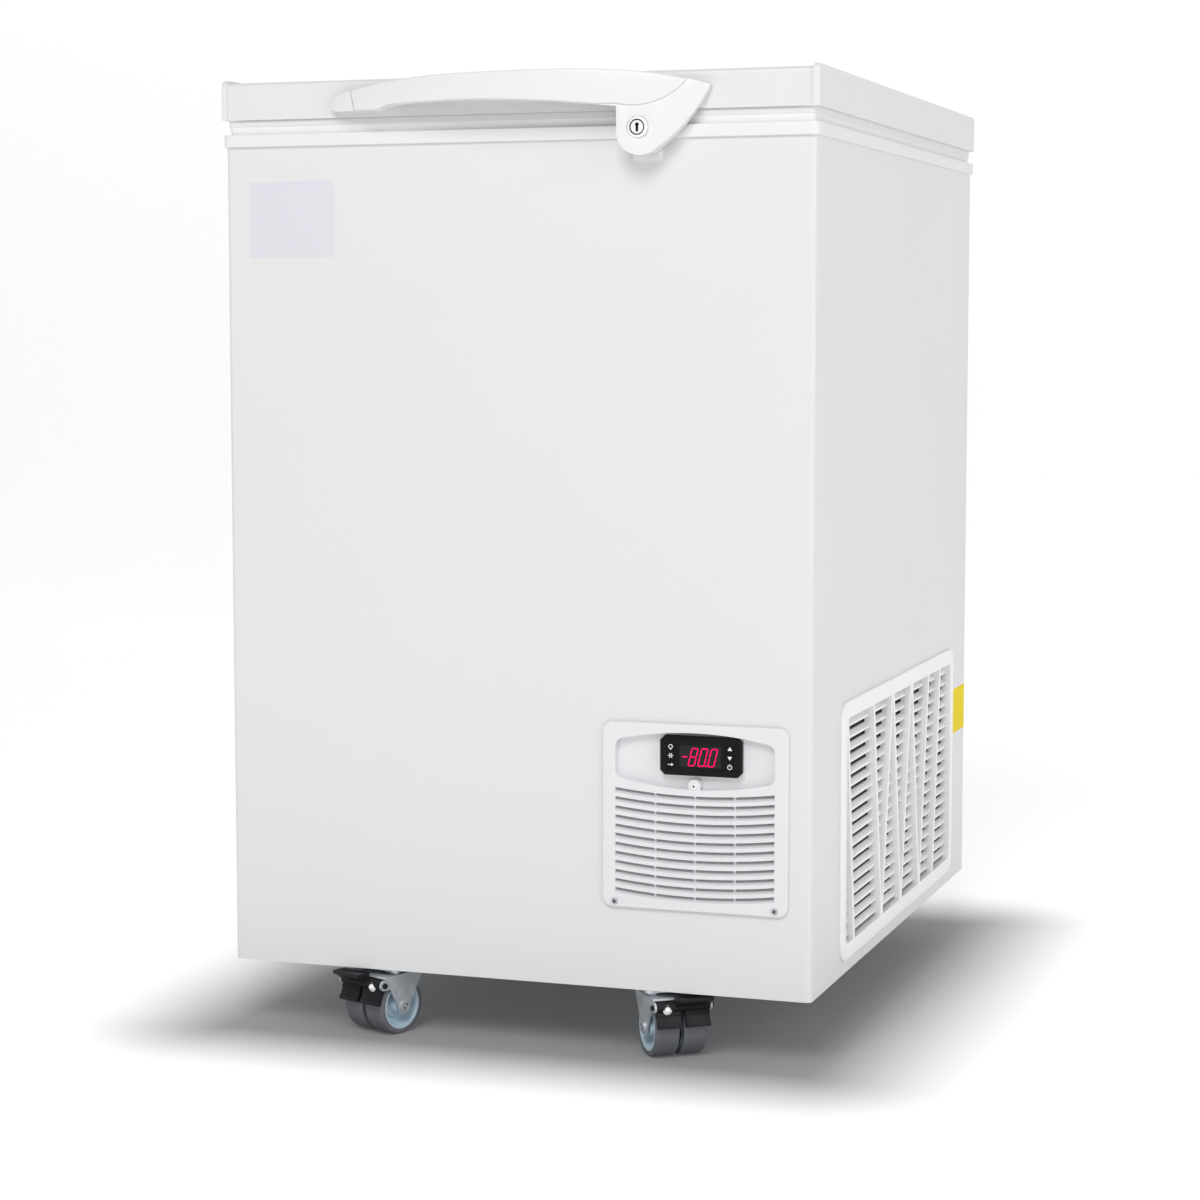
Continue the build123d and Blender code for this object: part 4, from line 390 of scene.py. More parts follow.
# %% Blocks that take the noses off the louvre ribs
WELD = 1e-6
ROWS, ROW_PITCH, FIRST_ROW_DROP, ROW_BOW, ROW_SINK = 12, 8.6, 62, 5, 0.25
RIB_SPACING, NOSE_WIDE, NOSE_HIGH = 38.5, 2.8, 4.5
NOSE_DEEP, NOSE_PROUD, SLAT_SLOPE = 3.0, 1.0, 0.55


def rib_noses():
    """Slanted blocks, three in each row between the slats, which bow down in the middle."""
    low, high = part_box("front_panel")
    middle, top = (low.x + high.x) / 2 / MM, high.z / MM - FIRST_ROW_DROP
    form = bmesh.new()
    for row in range(ROWS):
        for side in (-1, 0, 1):
            upper = top - ROW_PITCH * row - ROW_BOW * (1 - side * side / 4) - ROW_SINK
            block = bmesh.ops.create_cube(form, size=1.0)["verts"]
            for corner in block:
                depth = NOSE_DEEP if corner.co.y > 0 else -NOSE_PROUD
                level = upper if corner.co.z > 0 else upper - NOSE_HIGH
                x = middle + side * RIB_SPACING + NOSE_WIDE * corner.co.x
                corner.co = Vector((x * MM, low.y + depth * MM, (level + SLAT_SLOPE * depth) * MM))
    mesh = bpy.data.meshes.new("rib_noses")
    form.to_mesh(mesh)
    form.free()
    return mesh


def without(mesh, blocks):
    """A mesh with the blocks cut out of it."""
    rough, cutter = (bpy.data.objects.new("rough", shape) for shape in (mesh.copy(), blocks))
    for piece in (rough, cutter):
        bpy.context.collection.objects.link(piece)
    rough.modifiers.new("weld", "WELD").merge_threshold = WELD
    cut = rough.modifiers.new("cut", "BOOLEAN")
    cut.solver = "EXACT"
    cut.object = cutter
    depsgraph = bpy.context.evaluated_depsgraph_get()
    result = bpy.data.meshes.new_from_object(rough.evaluated_get(depsgraph))
    bpy.data.objects.remove(rough)
    bpy.data.objects.remove(cutter)
    return result


print("rib blocks ready")


# %% Soften the mouldings
SHARP, FLAT, SMOOTH = math.radians(32), math.radians(0.5), math.radians(40)
RECESS_END, RECESS_ROUND, ROUND_STEPS = 12 * MM, 6 * MM, 6
EDGE_STEPS, PLAIN_SHARE = 3, 0.25


def sharp_edges(form):
    return [edge for edge in form.edges if edge.is_manifold and edge.calc_face_angle() > SHARP]


def round_recess(form, rim):
    """Rounds the four corners of the recess, the only sharp edges near its ends that run straight in."""
    low, high = rim
    corners = []
    for edge in sharp_edges(form):
        first, second = (corner.co for corner in edge.verts)
        runs_in = abs(first.y - second.y) > 0.99 * (first - second).length
        from_end = min(first.x - low[0], high[0] - first.x)
        if runs_in and 0 < from_end < RECESS_END and low[2] < first.z < high[2]:
            corners.append(edge)
    bmesh.ops.bevel(
        form, geom=corners, offset=RECESS_ROUND, segments=ROUND_STEPS, profile=0.5, affect="EDGES"
    )
    return len(corners)


def weigh(form, rim):
    """Gives sharp edges a share of the bevel and the edges inside a box on the front all of it."""
    weight = form.edges.layers.float.new("bevel_weight_edge")
    low, high = rim
    for edge in sharp_edges(form):
        spots = [corner.co for corner in edge.verts]
        inside = all(low[axis] < spot[axis] < high[axis] for spot in spots for axis in range(3))
        edge[weight] = 1.0 if inside else PLAIN_SHARE


def softened(node, width, rim=None):
    """A copy of a CAD node with its edges rounded, which then stands for the node."""
    source = nodes[node]
    form = bmesh.new()
    form.from_mesh(without(source.data, rib_noses()) if rim else source.data)
    bmesh.ops.remove_doubles(form, verts=form.verts, dist=WELD)
    bmesh.ops.dissolve_limit(form, angle_limit=FLAT, verts=form.verts, edges=form.edges)
    if rim:
        print(round_recess(form, rim), "corners of the recess rounded")
        weigh(form, rim)
    mesh = bpy.data.meshes.new(node + "_soft")
    form.to_mesh(mesh)
    form.free()
    rough = bpy.data.objects.new("rough", mesh)
    bpy.context.collection.objects.link(rough)
    bevel = rough.modifiers.new("edge", "BEVEL")
    bevel.width = width
    bevel.segments = EDGE_STEPS
    bevel.limit_method = "WEIGHT" if rim else "ANGLE"
    bevel.angle_limit = SHARP
    bevel.use_clamp_overlap = True
    return settle(rough, node + "_soft", body_of[node], source.data.materials[0], node)


def settle(rough, name, body, finish, *stands_for):
    """Turns a rough object with modifiers into a plain piece that rides on a body."""
    depsgraph = bpy.context.evaluated_depsgraph_get()
    mesh = bpy.data.meshes.new_from_object(rough.evaluated_get(depsgraph))
    mesh.name = name
    bpy.data.objects.remove(rough)
    mesh.materials.clear()
    mesh.materials.append(finish)
    return place_mesh(mesh, name, body, *stands_for)


def place_mesh(mesh, name, body, *stands_for):
    """Links a finished mesh as a piece, smooth across its gentle edges."""
    mesh.polygons.foreach_set("use_smooth", [True] * len(mesh.polygons))
    mesh.set_sharp_from_angle(angle=SMOOTH)
    piece = bpy.data.objects.new(name, mesh)
    bpy.context.collection.objects.link(piece)
    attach(piece, body)
    if stands_for:
        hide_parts(*stands_for)
    return piece


soft_edges = {
    "handle_base": 2.2 * MM,
    "handle_cover": 1.8 * MM,
    "side_grille": 0.6 * MM,
    "top_frame": 1.0 * MM,
    "controller_body": 0.5 * MM,
    "brake_front_left": 0.8 * MM,
    "brake_front_right": 0.8 * MM,
}
for node, width in soft_edges.items():
    piece = softened(node, width)
    print(piece.name, len(piece.data.polygons), "faces")
RECESS_SIDE, RECESS_FOOT, RECESS_HEAD = 10 * MM, 60.5 * MM, 4 * MM
low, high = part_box("front_panel")
rim_low = (low.x + RECESS_SIDE, low.y - MM, high.z - RECESS_FOOT)
rim_high = (high.x - RECESS_SIDE, low.y + MM, high.z - RECESS_HEAD)
piece = softened("front_panel", 2.0 * MM, rim=(rim_low, rim_high))
print(piece.name, len(piece.data.polygons), "faces")

# %% [markdown]
# A caster wheel is turned: one outline spun about the axle. Two outlines are spun here, the tread
# with its rounded shoulders and the dished hub with its stepped boss, so each has its own finish.
# Spinning by hand in bmesh keeps the seam closed and lets the outline say exactly what is wanted.

# %% Turned wheels
tread_outline = [(-11.7, 23), (-11.7, 26), (-11.3, 27.2), (-10.3, 27.8), (-8.8, 28)]
tread_outline += [(-along, radius) for along, radius in reversed(tread_outline)]
hub_outline = [(-11.7, 4.4), (-11.7, 8), (-2.5, 8), (-2.5, 19.8), (-11.7, 20.2), (-11.7, 23), (11.7, 23)]
hub_outline += [(11.7, 21.4), (11, 20.6), (8.5, 20), (1.5, 18.6), (0.5, 17.6), (0.2, 13.6), (2.2, 12.6)]
hub_outline += [(3.2, 9.4), (9.5, 8.2), (10.8, 7.2), (10.8, 4.4)]


def turned(name, outlines, finishes, place, steps=72):
    """Spins closed outlines of (along, radius) in mm about X and puts the result in its place."""
    form = bmesh.new()
    for index, outline in enumerate(outlines):
        rings = []
        for step in range(steps):
            turn = 2 * math.pi * step / steps
            across, up = math.cos(turn), math.sin(turn)
            spots = [Vector((along, radius * across, radius * up)) for along, radius in outline]
            rings.append([form.verts.new(spot * MM) for spot in spots])
        for ring, following in zip(rings, rings[1:] + rings[:1]):
            for corner in range(len(outline)):
                back = corner - 1
                face = form.faces.new((ring[back], ring[corner], following[corner], following[back]))
                face.material_index = index
    bmesh.ops.recalc_face_normals(form, faces=form.faces)
    form.transform(place)
    mesh = bpy.data.meshes.new(name)
    form.to_mesh(mesh)
    form.free()
    for finish in finishes:
        mesh.materials.append(finish)
    return mesh


wheel_finishes = (finish_of["wheel_grey"], hub_grey)
for node in [name for name in nodes if name.startswith("wheel_")]:
    low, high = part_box(node)
    axle = Vector(joint_of[body_of[node]]["axis"])
    facing = math.atan2(axle.y, axle.x) + (math.pi if node.endswith("outer") else 0)
    place = Matrix.Translation((low + high) / 2) @ Matrix.Rotation(facing, 4, "Z")
    mesh = turned(node + "_turned", (tread_outline, hub_outline), wheel_finishes, place)
    place_mesh(mesh, node + "_turned", body_of[node], node)
print("wheels turned")

# %% [markdown]
# Screws, rivet holes and digit segments are one small shape set down many times. That is what Geometry
# Nodes are for: a tree takes a mesh of places, puts a shape on each, turns it by the place's own
# "turn" attribute, makes the copies real and gives them a finish.


# %% A tree that sets a shape on places
def places_tree():
    tree = bpy.data.node_groups.new("shape_on_places", "GeometryNodeTree")
    sockets = {}
    for title, kind in (("Places", "Geometry"), ("Shape", "Object"), ("Finish", "Material")):
        sort = "NodeSocket" + kind
        sockets[title] = tree.interface.new_socket(title, in_out="INPUT", socket_type=sort)
    tree.interface.new_socket("Pieces", in_out="OUTPUT", socket_type="NodeSocketGeometry")
    start, end = tree.nodes.new("NodeGroupInput"), tree.nodes.new("NodeGroupOutput")
    shape = tree.nodes.new("GeometryNodeObjectInfo")
    turn = tree.nodes.new("GeometryNodeInputNamedAttribute")
    turn.data_type = "FLOAT_VECTOR"
    turn.inputs["Name"].default_value = "turn"
    spin = tree.nodes.new("FunctionNodeEulerToRotation")
    spread = tree.nodes.new("GeometryNodeInstanceOnPoints")
    real = tree.nodes.new("GeometryNodeRealizeInstances")
    paint = tree.nodes.new("GeometryNodeSetMaterial")
    join = tree.links.new
    join(start.outputs["Places"], spread.inputs["Points"])
    join(start.outputs["Shape"], shape.inputs["Object"])
    join(shape.outputs["Geometry"], spread.inputs["Instance"])
    join(turn.outputs["Attribute"], spin.inputs["Euler"])
    join(spin.outputs["Rotation"], spread.inputs["Rotation"])
    join(spread.outputs["Instances"], real.inputs["Geometry"])
    join(real.outputs["Geometry"], paint.inputs["Geometry"])
    join(start.outputs["Finish"], paint.inputs["Material"])
    join(paint.outputs["Geometry"], end.inputs["Pieces"])
    return tree, {title: socket.identifier for title, socket in sockets.items()}


place_tree, place_input = places_tree()


def on_places(name, body, shape, places, finish, slant=None):
    """Sets a shape mesh on (position, turn) places and makes one piece of them."""
    holder = bpy.data.objects.new("shape", shape)
    bpy.context.collection.objects.link(holder)
    mesh = bpy.data.meshes.new("places")
    mesh.from_pydata([position for position, turn in places], [], [])
    turns = mesh.attributes.new("turn", "FLOAT_VECTOR", "POINT")
    turns.data.foreach_set("vector", [angle for position, turn in places for angle in turn])
    rough = bpy.data.objects.new("rough", mesh)
    bpy.context.collection.objects.link(rough)
    spread = rough.modifiers.new("spread", "NODES")
    spread.node_group = place_tree
    spread[place_input["Shape"]] = holder
    spread[place_input["Finish"]] = finish
    piece = settle(rough, name, body, finish)
    bpy.data.objects.remove(holder)
    if slant:
        piece.data.transform(slant)
    print(name, len(places), "copies")
    return piece


# %% [markdown]
# A pan-head screw is turned too, with a cross sunk into its head. The head is made along Z, and the
# places turn it to face out of the sheet it holds. The machine cover has them round its edge, the
# hinge feet and the hinge leaves at their corners.

# %% Screws
screw_outline = [(-0.6, 0.01), (-0.6, 3.2), (0.5, 3.2), (1.2, 2.7), (1.7, 1.7), (1.9, 0.6), (1.9, 0.01)]
CROSS_LEVEL, CROSS_SIZE, SCREW_STEPS = 1.75, (3.2, 0.7, 0.5), 20


def cross_screw():
    upright = Matrix.Rotation(-math.pi / 2, 4, "Y")
    mesh = turned("screw", (screw_outline,), (), upright, SCREW_STEPS)
    form = bmesh.new()
    form.from_mesh(mesh)
    for quarter in (0, math.pi / 2):
        bar = bmesh.ops.create_cube(form, size=1.0)["verts"]
        spot = Matrix.Translation((0, 0, CROSS_LEVEL * MM)) @ Matrix.Rotation(quarter, 4, "Z")
        size = Matrix.Diagonal([side * MM for side in CROSS_SIZE] + [1])
        bmesh.ops.transform(form, matrix=spot @ size, verts=bar)
    form.to_mesh(mesh)
    form.free()
    return mesh


facing_back = (-math.pi / 2, 0, 0)
COVER_EDGE, HINGE_SHEET, HINGE_INSET = 5 * MM, 3 * MM, 28 * MM
FOOT_REACH, FOOT_RISES, LEAF_REACH = 22 * MM, (12 * MM, 60 * MM), 21 * MM
low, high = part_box("machine_cover")
rows = [low.z + COVER_EDGE, (low.z + high.z) / 2, high.z - COVER_EDGE]
columns = (low.x + COVER_EDGE, high.x - COVER_EDGE)
cover_screws = [((x, high.y, z), facing_back) for x in columns for z in rows]
low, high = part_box("hinge_brackets")
foot_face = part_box("back_panel")[1].y + HINGE_SHEET
hinge_x = (high.x - HINGE_INSET, low.x + HINGE_INSET)
foot_screws = [
    ((x + side * FOOT_REACH, foot_face, low.z + rise), facing_back)
    for x in hinge_x
    for side in (-1, 1)
    for rise in FOOT_RISES
]
zinc = finish_of["zinc_steel"]
on_places("cabinet_back_screws", "cabinet", cross_screw(), cover_screws + foot_screws, zinc)
low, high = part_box("lid_wrap")
leaf_face, leaf_z = high.y + HINGE_SHEET, (low.z + high.z) / 2
leaf_screws = [
    ((x + side * LEAF_REACH, leaf_face, leaf_z), facing_back) for x in hinge_x for side in (-1, 1)
]
on_places("lid_leaf_screws", "lid", cross_screw(), leaf_screws, zinc)

# %% [markdown]
# The readout is a seven-segment display. One segment is a small bar with pointed ends, and each digit
# is the same bar set on up to seven places. A slant at the end leans all digits to the right, as on
# the real window. The digits glow, so their finish has an emission colour.


# %% Lit digits
def glowing(name, colour, strength):
    finish = Finish(name)
    drift = finish.noise(900.0)
    dim = tuple(0.8 * part for part in colour)
    return finish.surface(
        Base_Color=rgba(*[0.5 * part for part in colour]),
        Roughness=0.4 + 0.1 * drift,
        Emission_Color=finish.mix(drift, rgba(*colour), rgba(*dim)),
        Emission_Strength=strength,
        Specular_IOR_Level=0.0,
    )


lit_red = glowing("lit_red", (1.0, 0.0, 0.11), 1.3)
DIGIT_WIDE, DIGIT_HIGH, STROKE, BAR_GAP = 5.9, 16.2, 1.0, 0.5
LIT_THICK, LEAN, READOUT_DROP = 0.06, 0.24, 0.6
readout = (("-", -15.0), ("8", -6.8), ("0", 2.6), ("0", 12.0))
POINT_RADIUS, POINT_X, POINT_Z = 0.75, 7.3, -8.0
segment_at = {
    "a": (0, 1, 0),
    "g": (0, 0, 0),
    "d": (0, -1, 0),
    "f": (-0.5, 0.5, 1),
    "b": (0.5, 0.5, 1),
    "e": (-0.5, -0.5, 1),
    "c": (0.5, -0.5, 1),
}
lit_segments = {"-": "g", "8": "abcdefg", "0": "abcdef"}


def plate_mesh(name, outlines, thick):
    """Flat outlines in X and Z, in mm, made into thin plates whose back is at y = 0."""
    form = bmesh.new()
    for outline in outlines:
        face = form.faces.new([form.verts.new((x * MM, 0, z * MM)) for x, z in outline])
        wall = bmesh.ops.extrude_face_region(form, geom=[face])["geom"]
        moved = [item for item in wall if isinstance(item, bmesh.types.BMVert)]
        bmesh.ops.translate(form, verts=moved, vec=(0, -thick * MM, 0))
    bmesh.ops.recalc_face_normals(form, faces=form.faces)
    mesh = bpy.data.meshes.new(name)
    form.to_mesh(mesh)
    form.free()
    return mesh


def plate_piece(name, outlines, thick, place, finish, body):
    """Thin plates put in their place as one piece on a body."""
    mesh = plate_mesh(name, outlines, thick)
    mesh.transform(place)
    mesh.materials.append(finish)
    return place_mesh(mesh, name, body)


def ring(radius, count, x=0.0, z=0.0):
    """Points round a circle."""
    turns = [math.tau * step / count for step in range(count)]
    return [(radius * math.cos(turn) + x, radius * math.sin(turn) + z) for turn in turns]


def bar_mesh(length):
    """A flat bar with pointed ends."""
    half = STROKE / 2
    outline = [(-length / 2, 0), (-length / 2 + half, half), (length / 2 - half, half)]
    outline += [(-x, -z) for x, z in outline]
    return plate_mesh("segment", [outline], LIT_THICK)


low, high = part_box("display_window")
window = Vector(((low.x + high.x) / 2, low.y, (low.z + high.z) / 2 - READOUT_DROP * MM))
bars = {0: [], 1: []}
for digit, across in readout:
    for letter in lit_segments[digit]:
        side, level, upright = segment_at[letter]
        x = across + side * DIGIT_WIDE
        z = level * DIGIT_HIGH / 2
        bars[upright].append(((x * MM, 0, z * MM), (0, upright * math.pi / 2, 0)))
lean = Matrix.Identity(4)
lean[0][2] = LEAN
seat = Matrix.Translation(window) @ lean
level_bar, upright_bar = bar_mesh(DIGIT_WIDE - BAR_GAP), bar_mesh(DIGIT_HIGH / 2 - BAR_GAP)
on_places("lit_level_bars", "cabinet", level_bar, bars[0], lit_red, seat)
on_places("lit_upright_bars", "cabinet", upright_bar, bars[1], lit_red, seat)
point = ring(POINT_RADIUS, 12, POINT_X, POINT_Z)
plate_piece("decimal_point", [point], LIT_THICK, seat, lit_red, "cabinet")

# %% [markdown]
# Each key carries a small printed symbol. Plain signs will do: a lamp ring, a frost star, an arrow,
# up, down and set. They are thin plates on the key caps, and each rides on its own key so that it
# goes in when the key is pressed.


# %% Key symbols
PEN, SYMBOL_SCALE, PRINT_THICK = 0.6, 1.2, 0.05


def stroke(x0, z0, x1, z1, wide=PEN):
    """A straight bar between two points."""
    along = Vector((x1 - x0, z1 - z0)).normalized()
    across = Vector((-along.y, along.x)) * wide / 2
    ends = [(x0, z0), (x1, z1)]
    upper = [(x + across.x, z + across.y) for x, z in ends]
    return upper + [(x - across.x, z - across.y) for x, z in reversed(ends)]


def spokes(count, reach):
    """Bars that cross in the middle."""
    turns = [math.pi * step / count for step in range(count)]
    tips = [(reach * math.cos(turn), reach * math.sin(turn)) for turn in turns]
    return [stroke(-x, -z, x, z) for x, z in tips]


def hoop(radius, count=14, wide=PEN):
    """A ring of short bars."""
    spots = ring(radius, count)
    return [stroke(*first, *second, wide) for first, second in zip(spots, spots[1:] + spots[:1])]


symbols = {
    "key_left_top": hoop(1.5) + [stroke(-0.5, -2.2, 0.5, -2.2)],
    "key_left_middle": spokes(3, 2.1),
    "key_left_bottom": [stroke(-2.2, 0, 1.0, 0), [(0.6, -1.3), (2.4, 0), (0.6, 1.3)]],
    "key_right_top": [[(-1.9, -1.2), (1.9, -1.2), (0, 1.7)]],
    "key_right_middle": [[(-1.9, 1.2), (0, -1.7), (1.9, 1.2)]],
    "key_right_bottom": hoop(1.7) + [stroke(0, 0.4, 0, 2.4)],
}
print_white = moulded("print_white", (0.8, 0.8, 0.8), (0.72, 0.72, 0.72), 0.4)
for node, outlines in symbols.items():
    low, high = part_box(node)
    middle = Matrix.Translation(((low.x + high.x) / 2, low.y, (low.z + high.z) / 2))
    place = middle @ Matrix.Diagonal((SYMBOL_SCALE, 1, SYMBOL_SCALE, 1))
    plate_piece(node + "_symbol", outlines, PRINT_THICK, place, print_white, body_of[node])
print(len(symbols), "symbols printed")

# %% [markdown]
# The lock shows a dark ring round its bright plug and a black keyhole, painted shade round the plug and in the
# hole. Both are thin plates on the plug's face, so they turn with the key. The panel's white centre screw has a
# small dark eye, and the two zinc ones below it have a cross: black plates of painted shade.

# %% Painted shade on the lock face and screws
shadow_black = moulded("shadow_black", (0.004, 0.004, 0.004), (0.008, 0.008, 0.008), 0.5, shine=0.1)
LOCK_RING, RING_PEN, MARK_THICK = 6.5, 0.9, 0.08
BOW_RADIUS, BOW_RISE = 1.8, 2.2
SCREW_RADIUS, EYE_RADIUS, EYE_THICK, CROSS_PEN, CROSS_SINK = 3.0, 0.9, 0.3, 0.9, 0.25
# Painted shade: a black ring round the plug and a black keyhole.
low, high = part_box("lock_plug")
lock_spot = Matrix.Translation(((low.x + high.x) / 2, low.y, joint_of["lock"]["pos_m"][2]))
turns = [math.radians(angle) for angle in range(-50, 231, 20)]
bow = [(BOW_RADIUS * math.cos(turn), BOW_RISE + BOW_RADIUS * math.sin(turn)) for turn in turns]
keyhole = bow + [(-1.0, -4.4), (1.1, -4.0)]
lock_outlines = hoop(LOCK_RING, 40, RING_PEN) + [keyhole]
plate_piece("lock_marks", lock_outlines, MARK_THICK, lock_spot, shadow_black, "lock")
# Painted shade: a black eye on the centre screw and black crosses on the two below.
low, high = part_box("panel_screws")
middle = (low.x + high.x) / 2
eye_spot = Matrix.Translation((middle, low.y, high.z - SCREW_RADIUS * MM))
plate_piece("screw_eye", [ring(EYE_RADIUS, 12)], EYE_THICK, eye_spot, shadow_black, "cabinet")
apart = (high.x - low.x) / 2 / MM - SCREW_RADIUS
cross = [stroke(-1.8, -0.7, 1.8, 0.7, CROSS_PEN), stroke(-0.7, 1.8, 0.7, -1.8, CROSS_PEN)]
crosses = [[(x + side * apart, z) for x, z in bar] for side in (-1, 1) for bar in cross]
cross_spot = Matrix.Translation((middle, low.y + CROSS_SINK * MM, low.z + SCREW_RADIUS * MM))
plate_piece("screw_crosses", crosses, EYE_THICK, cross_spot, shadow_black, "cabinet")
print("lock face drawn")

# %% [markdown]
# Two more small things finish the casters. Each axle ends in a riveted head with two punched holes, shown as black
# discs of painted shade, and each brake carries a bright adjusting bolt beside its pedal. Both are set in the
# caster's own coordinates and then turned with it, so one drawing serves every caster.


# %% Rivet holes and brake bolts
def caster_place(corner):
    """From caster coordinates, with the swivel over the floor point at zero, to the frame."""
    axle = joint_of[f"roller_{corner}_inner"]["axis"]
    spot = Matrix.Translation(joint_of["swivel_" + corner]["pos_m"])
    return spot @ Matrix.Rotation(math.atan2(axle[1], axle[0]), 4, "Z")


hole_outline = [(-0.1, 0.01), (-0.1, 1.1), (0.1, 1.1), (0.1, 0.01)]
bolt_outline = [(0, 0.01), (0, 4.4), (0.9, 4.4), (1.0, 3.3), (2.4, 3.1), (3.2, 2.3), (3.6, 1.0), (3.6, 0.01)]
RIVET_X, AXLE_Y, AXLE_Z, HOLE_SHIFT = 30.7, -16, 28, 1.6
BOLT_X, BOLT_Y, BOLT_Z = 16, -46.6, 50
hole_places = [
    ((side * RIVET_X * MM, (AXLE_Y + shift) * MM, (AXLE_Z + shift) * MM), (0, 0, 0))
    for side in (-1, 1)
    for shift in (-HOLE_SHIFT, HOLE_SHIFT)
]
# Painted shade: a black disc in each punched hole of the rivet heads.
for corner in ("front_left", "front_right", "rear_left", "rear_right"):
    hole = turned("hole", (hole_outline,), (), Matrix.Identity(4), 12)
    name, body = "rivet_holes_" + corner, "swivel_" + corner
    on_places(name, body, hole, hole_places, shadow_black, caster_place(corner))
for corner, side in (("front_left", 1), ("front_right", -1)):
    spot = Matrix.Translation(Vector((side * BOLT_X, BOLT_Y, BOLT_Z)) * MM)
    place = caster_place(corner) @ (spot @ Matrix.Rotation(-math.pi / 2, 4, "Z"))
    name = "brake_bolt_" + corner
    mesh = turned(name, (bolt_outline,), (finish_of["chrome"],), place, 24)
    place_mesh(mesh, name, "pedal_" + corner)
print("caster trims set")

# %% [markdown]
# Two plain labels belong to the cabinet: a white one on the front and a yellow one on the side. Each is
# a thin sheet with rounded corners that stands a hair off the paint, so its edge reads as a film on it.


# %% Bare labels
LABEL_CORNER, LABEL_THICK = 2.5, 0.12
FRONT_WIDE, FRONT_HIGH, FRONT_X, FRONT_Z = 88.5, 72.5, -223.7, 787.3
SIDE_WIDE, SIDE_HIGH, SIDE_Y, SIDE_Z = 76, 50, 311, 256


def rounded(wide, high, corner, steps=6):
    """Outline of a rectangle with round corners about the origin."""
    outline = []
    for quarter, (sx, sz) in enumerate(((1, 1), (-1, 1), (-1, -1), (1, -1))):
        for step in range(steps + 1):
            turn = (quarter + step / steps) * math.pi / 2
            x = sx * (wide / 2 - corner) + corner * math.cos(turn)
            outline.append((x, sz * (high / 2 - corner) + corner * math.sin(turn)))
    return outline


low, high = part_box("cabinet_wrap")
label_white = moulded("label_white", (0.635, 0.64, 0.685), (0.62, 0.625, 0.67), 0.45)
label_yellow = moulded("label_yellow", (0.85, 0.66, 0.0), (0.8, 0.62, 0.0), 0.5, shine=0.1)
front_spot = Matrix.Translation((FRONT_X * MM, low.y, FRONT_Z * MM))
front_sheet = rounded(FRONT_WIDE, FRONT_HIGH, LABEL_CORNER)
plate_piece("front_label", [front_sheet], LABEL_THICK, front_spot, label_white, "cabinet")
side_spot = Matrix.Translation((high.x, SIDE_Y * MM, SIDE_Z * MM)) @ Matrix.Rotation(math.pi / 2, 4, "Z")
side_sheet = rounded(SIDE_WIDE, SIDE_HIGH, LABEL_CORNER)
plate_piece("side_label", [side_sheet], LABEL_THICK, side_spot, label_yellow, "cabinet")
print("labels set")

# %% [markdown]
# The studio is a pale sweep: a floor that curves up behind the object, so there is no horizon line.
# Away from the object the paper is lit until it goes pure white, which its own emission stands for. Near the
# footprint the glow fades and the paper's colour darkens, a painted shadow. How far a spot lies outside the
# footprint tells how much. A broad key light, a fill from the right and an even sky do the rest.

# %% Studio sweep and light
SWEEP_FRONT, BEND_Y, BEND_RADIUS, BEND_STEPS, WALL_TOP, SWEEP_HALF = -30.0, 3.0, 2.0, 16, 6.0, 30.0
PAINTED_SHADOW_GREY, FAR_SHADE, PAPER_GLOW = 0.22, 0.92, 0.33
SHADE_START, SHADE_STOP = -0.06, 0.2
sweep_section = [(SWEEP_FRONT, 0.0), (BEND_Y, 0.0)]
for step in range(1, BEND_STEPS + 1):
    turn = math.pi / 2 / BEND_STEPS * step
    sweep_section.append((BEND_Y + BEND_RADIUS * math.sin(turn), BEND_RADIUS - BEND_RADIUS * math.cos(turn)))
sweep_section.append((BEND_Y + BEND_RADIUS, WALL_TOP))
mesh = bpy.data.meshes.new("studio_sweep")
corners = [(x, y, z) for y, z in sweep_section for x in (-SWEEP_HALF, SWEEP_HALF)]
mesh.from_pydata(corners, [], [(i, i + 1, i + 3, i + 2) for i in range(0, len(corners) - 2, 2)])
sweep = bpy.data.objects.new("studio_sweep", mesh)
bpy.context.collection.objects.link(sweep)
paper = Finish("sweep_paper")
tooth = paper.noise(4.0)


def vector(operation, *inputs, output="Vector"):
    return paper.node("ShaderNodeVectorMath", {"operation": operation}, dict(enumerate(inputs)), output)


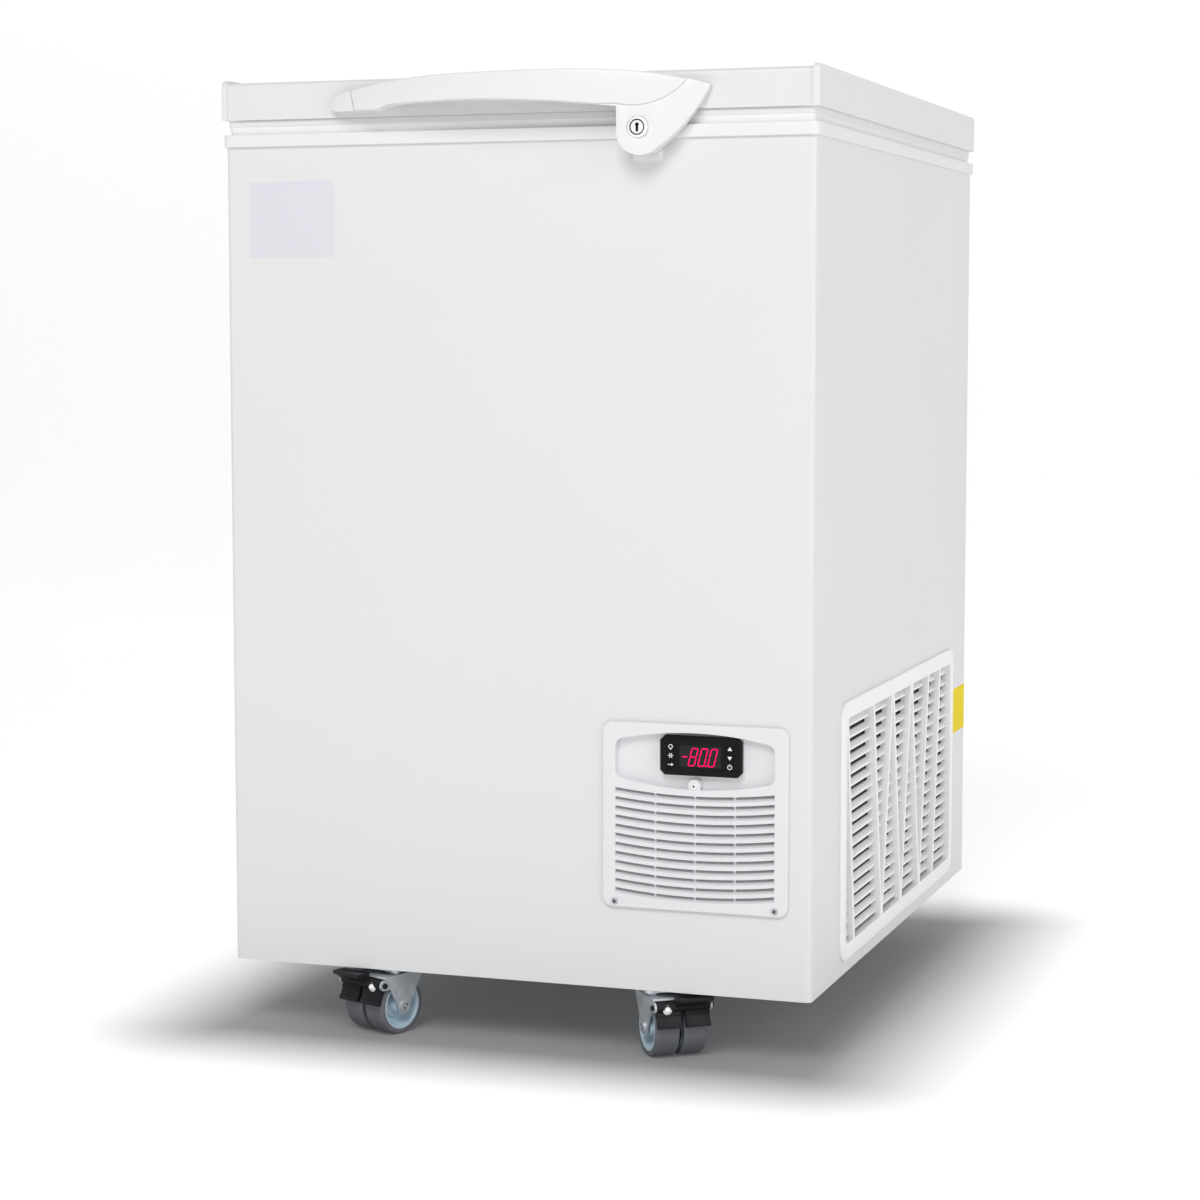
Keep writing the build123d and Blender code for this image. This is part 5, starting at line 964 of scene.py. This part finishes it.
low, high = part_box("cabinet_wrap")
beyond = vector("SUBTRACT", vector("ABSOLUTE", paper.place()), (high.x, high.y, 0))
reach = vector("LENGTH", vector("MAXIMUM", beyond, (0, 0, 0)), output="Value")
smooth = {"interpolation_type": "SMOOTHSTEP"}
span = {"Value": reach, "From Min": SHADE_START, "From Max": SHADE_STOP}
# Painted shadow: near the footprint the paper's colour darkens and its glow fades out.
far = paper.node("ShaderNodeMapRange", smooth, span)
mesh.materials.append(
    paper.surface(
        Base_Color=paper.mix(far, rgba(*[PAINTED_SHADOW_GREY] * 3), rgba(*[FAR_SHADE] * 3)),
        Roughness=0.7 + 0.1 * tooth,
        Emission_Color=paper.mix(far, rgba(0, 0, 0), rgba(1, 1, 1)),
        Emission_Strength=PAPER_GLOW,
    )
)
mesh.polygons.foreach_set("use_smooth", [True] * len(mesh.polygons))
sweep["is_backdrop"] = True


def soft_box(name, place, target, size, power):
    lamp = bpy.data.lights.new(name, "AREA")
    lamp.shape = "SQUARE"
    lamp.size = size
    lamp.energy = power
    holder = bpy.data.objects.new(name, lamp)
    holder.location = place
    holder.rotation_mode = "QUATERNION"
    holder.rotation_quaternion = (Vector(target) - Vector(place)).to_track_quat("-Z", "Y")
    bpy.context.collection.objects.link(holder)


soft_box("key_light", (0.4, -3.8, 3.6), (0, 0, 0.4), 2.0, 105)
soft_box("fill_light", (3.4, -2.0, 1.8), (0, 0, 0.5), 2.0, 26)
sky = bpy.data.worlds.new("studio_sky")
sky.use_nodes = True
background = sky.node_tree.nodes["Background"]
background.inputs["Color"].default_value = rgba(1, 1, 1)
background.inputs["Strength"].default_value = 0.45
bpy.context.scene.world = sky
bpy.context.scene.view_settings.view_transform = "Standard"
print("studio lit")

# %% [markdown]
# The camera stands where the photographer stood. Six corners of the cabinet in the picture gave its
# place, its turn to the left and its small tilt down, and the lens follows from the same fit.

# %% Camera
camera = bpy.data.cameras.new("camera")
camera.sensor_width = 36.0
camera.lens = 84.56
viewer = bpy.data.objects.new("camera", camera)
viewer.location = (0.9284, -2.8135, 0.6811)
yaw, tilt = math.radians(18.79), math.radians(5.44)
ahead = Vector((-math.sin(yaw) * math.cos(tilt), math.cos(yaw) * math.cos(tilt), -math.sin(tilt)))
viewer.rotation_mode = "QUATERNION"
viewer.rotation_quaternion = ahead.to_track_quat("-Z", "Y")
bpy.context.collection.objects.link(viewer)
bpy.context.scene.camera = viewer
print("camera at", [round(v, 2) for v in viewer.location])

# %% Size
low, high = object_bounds()
print("size", [round(v, 4) for v in high - low])
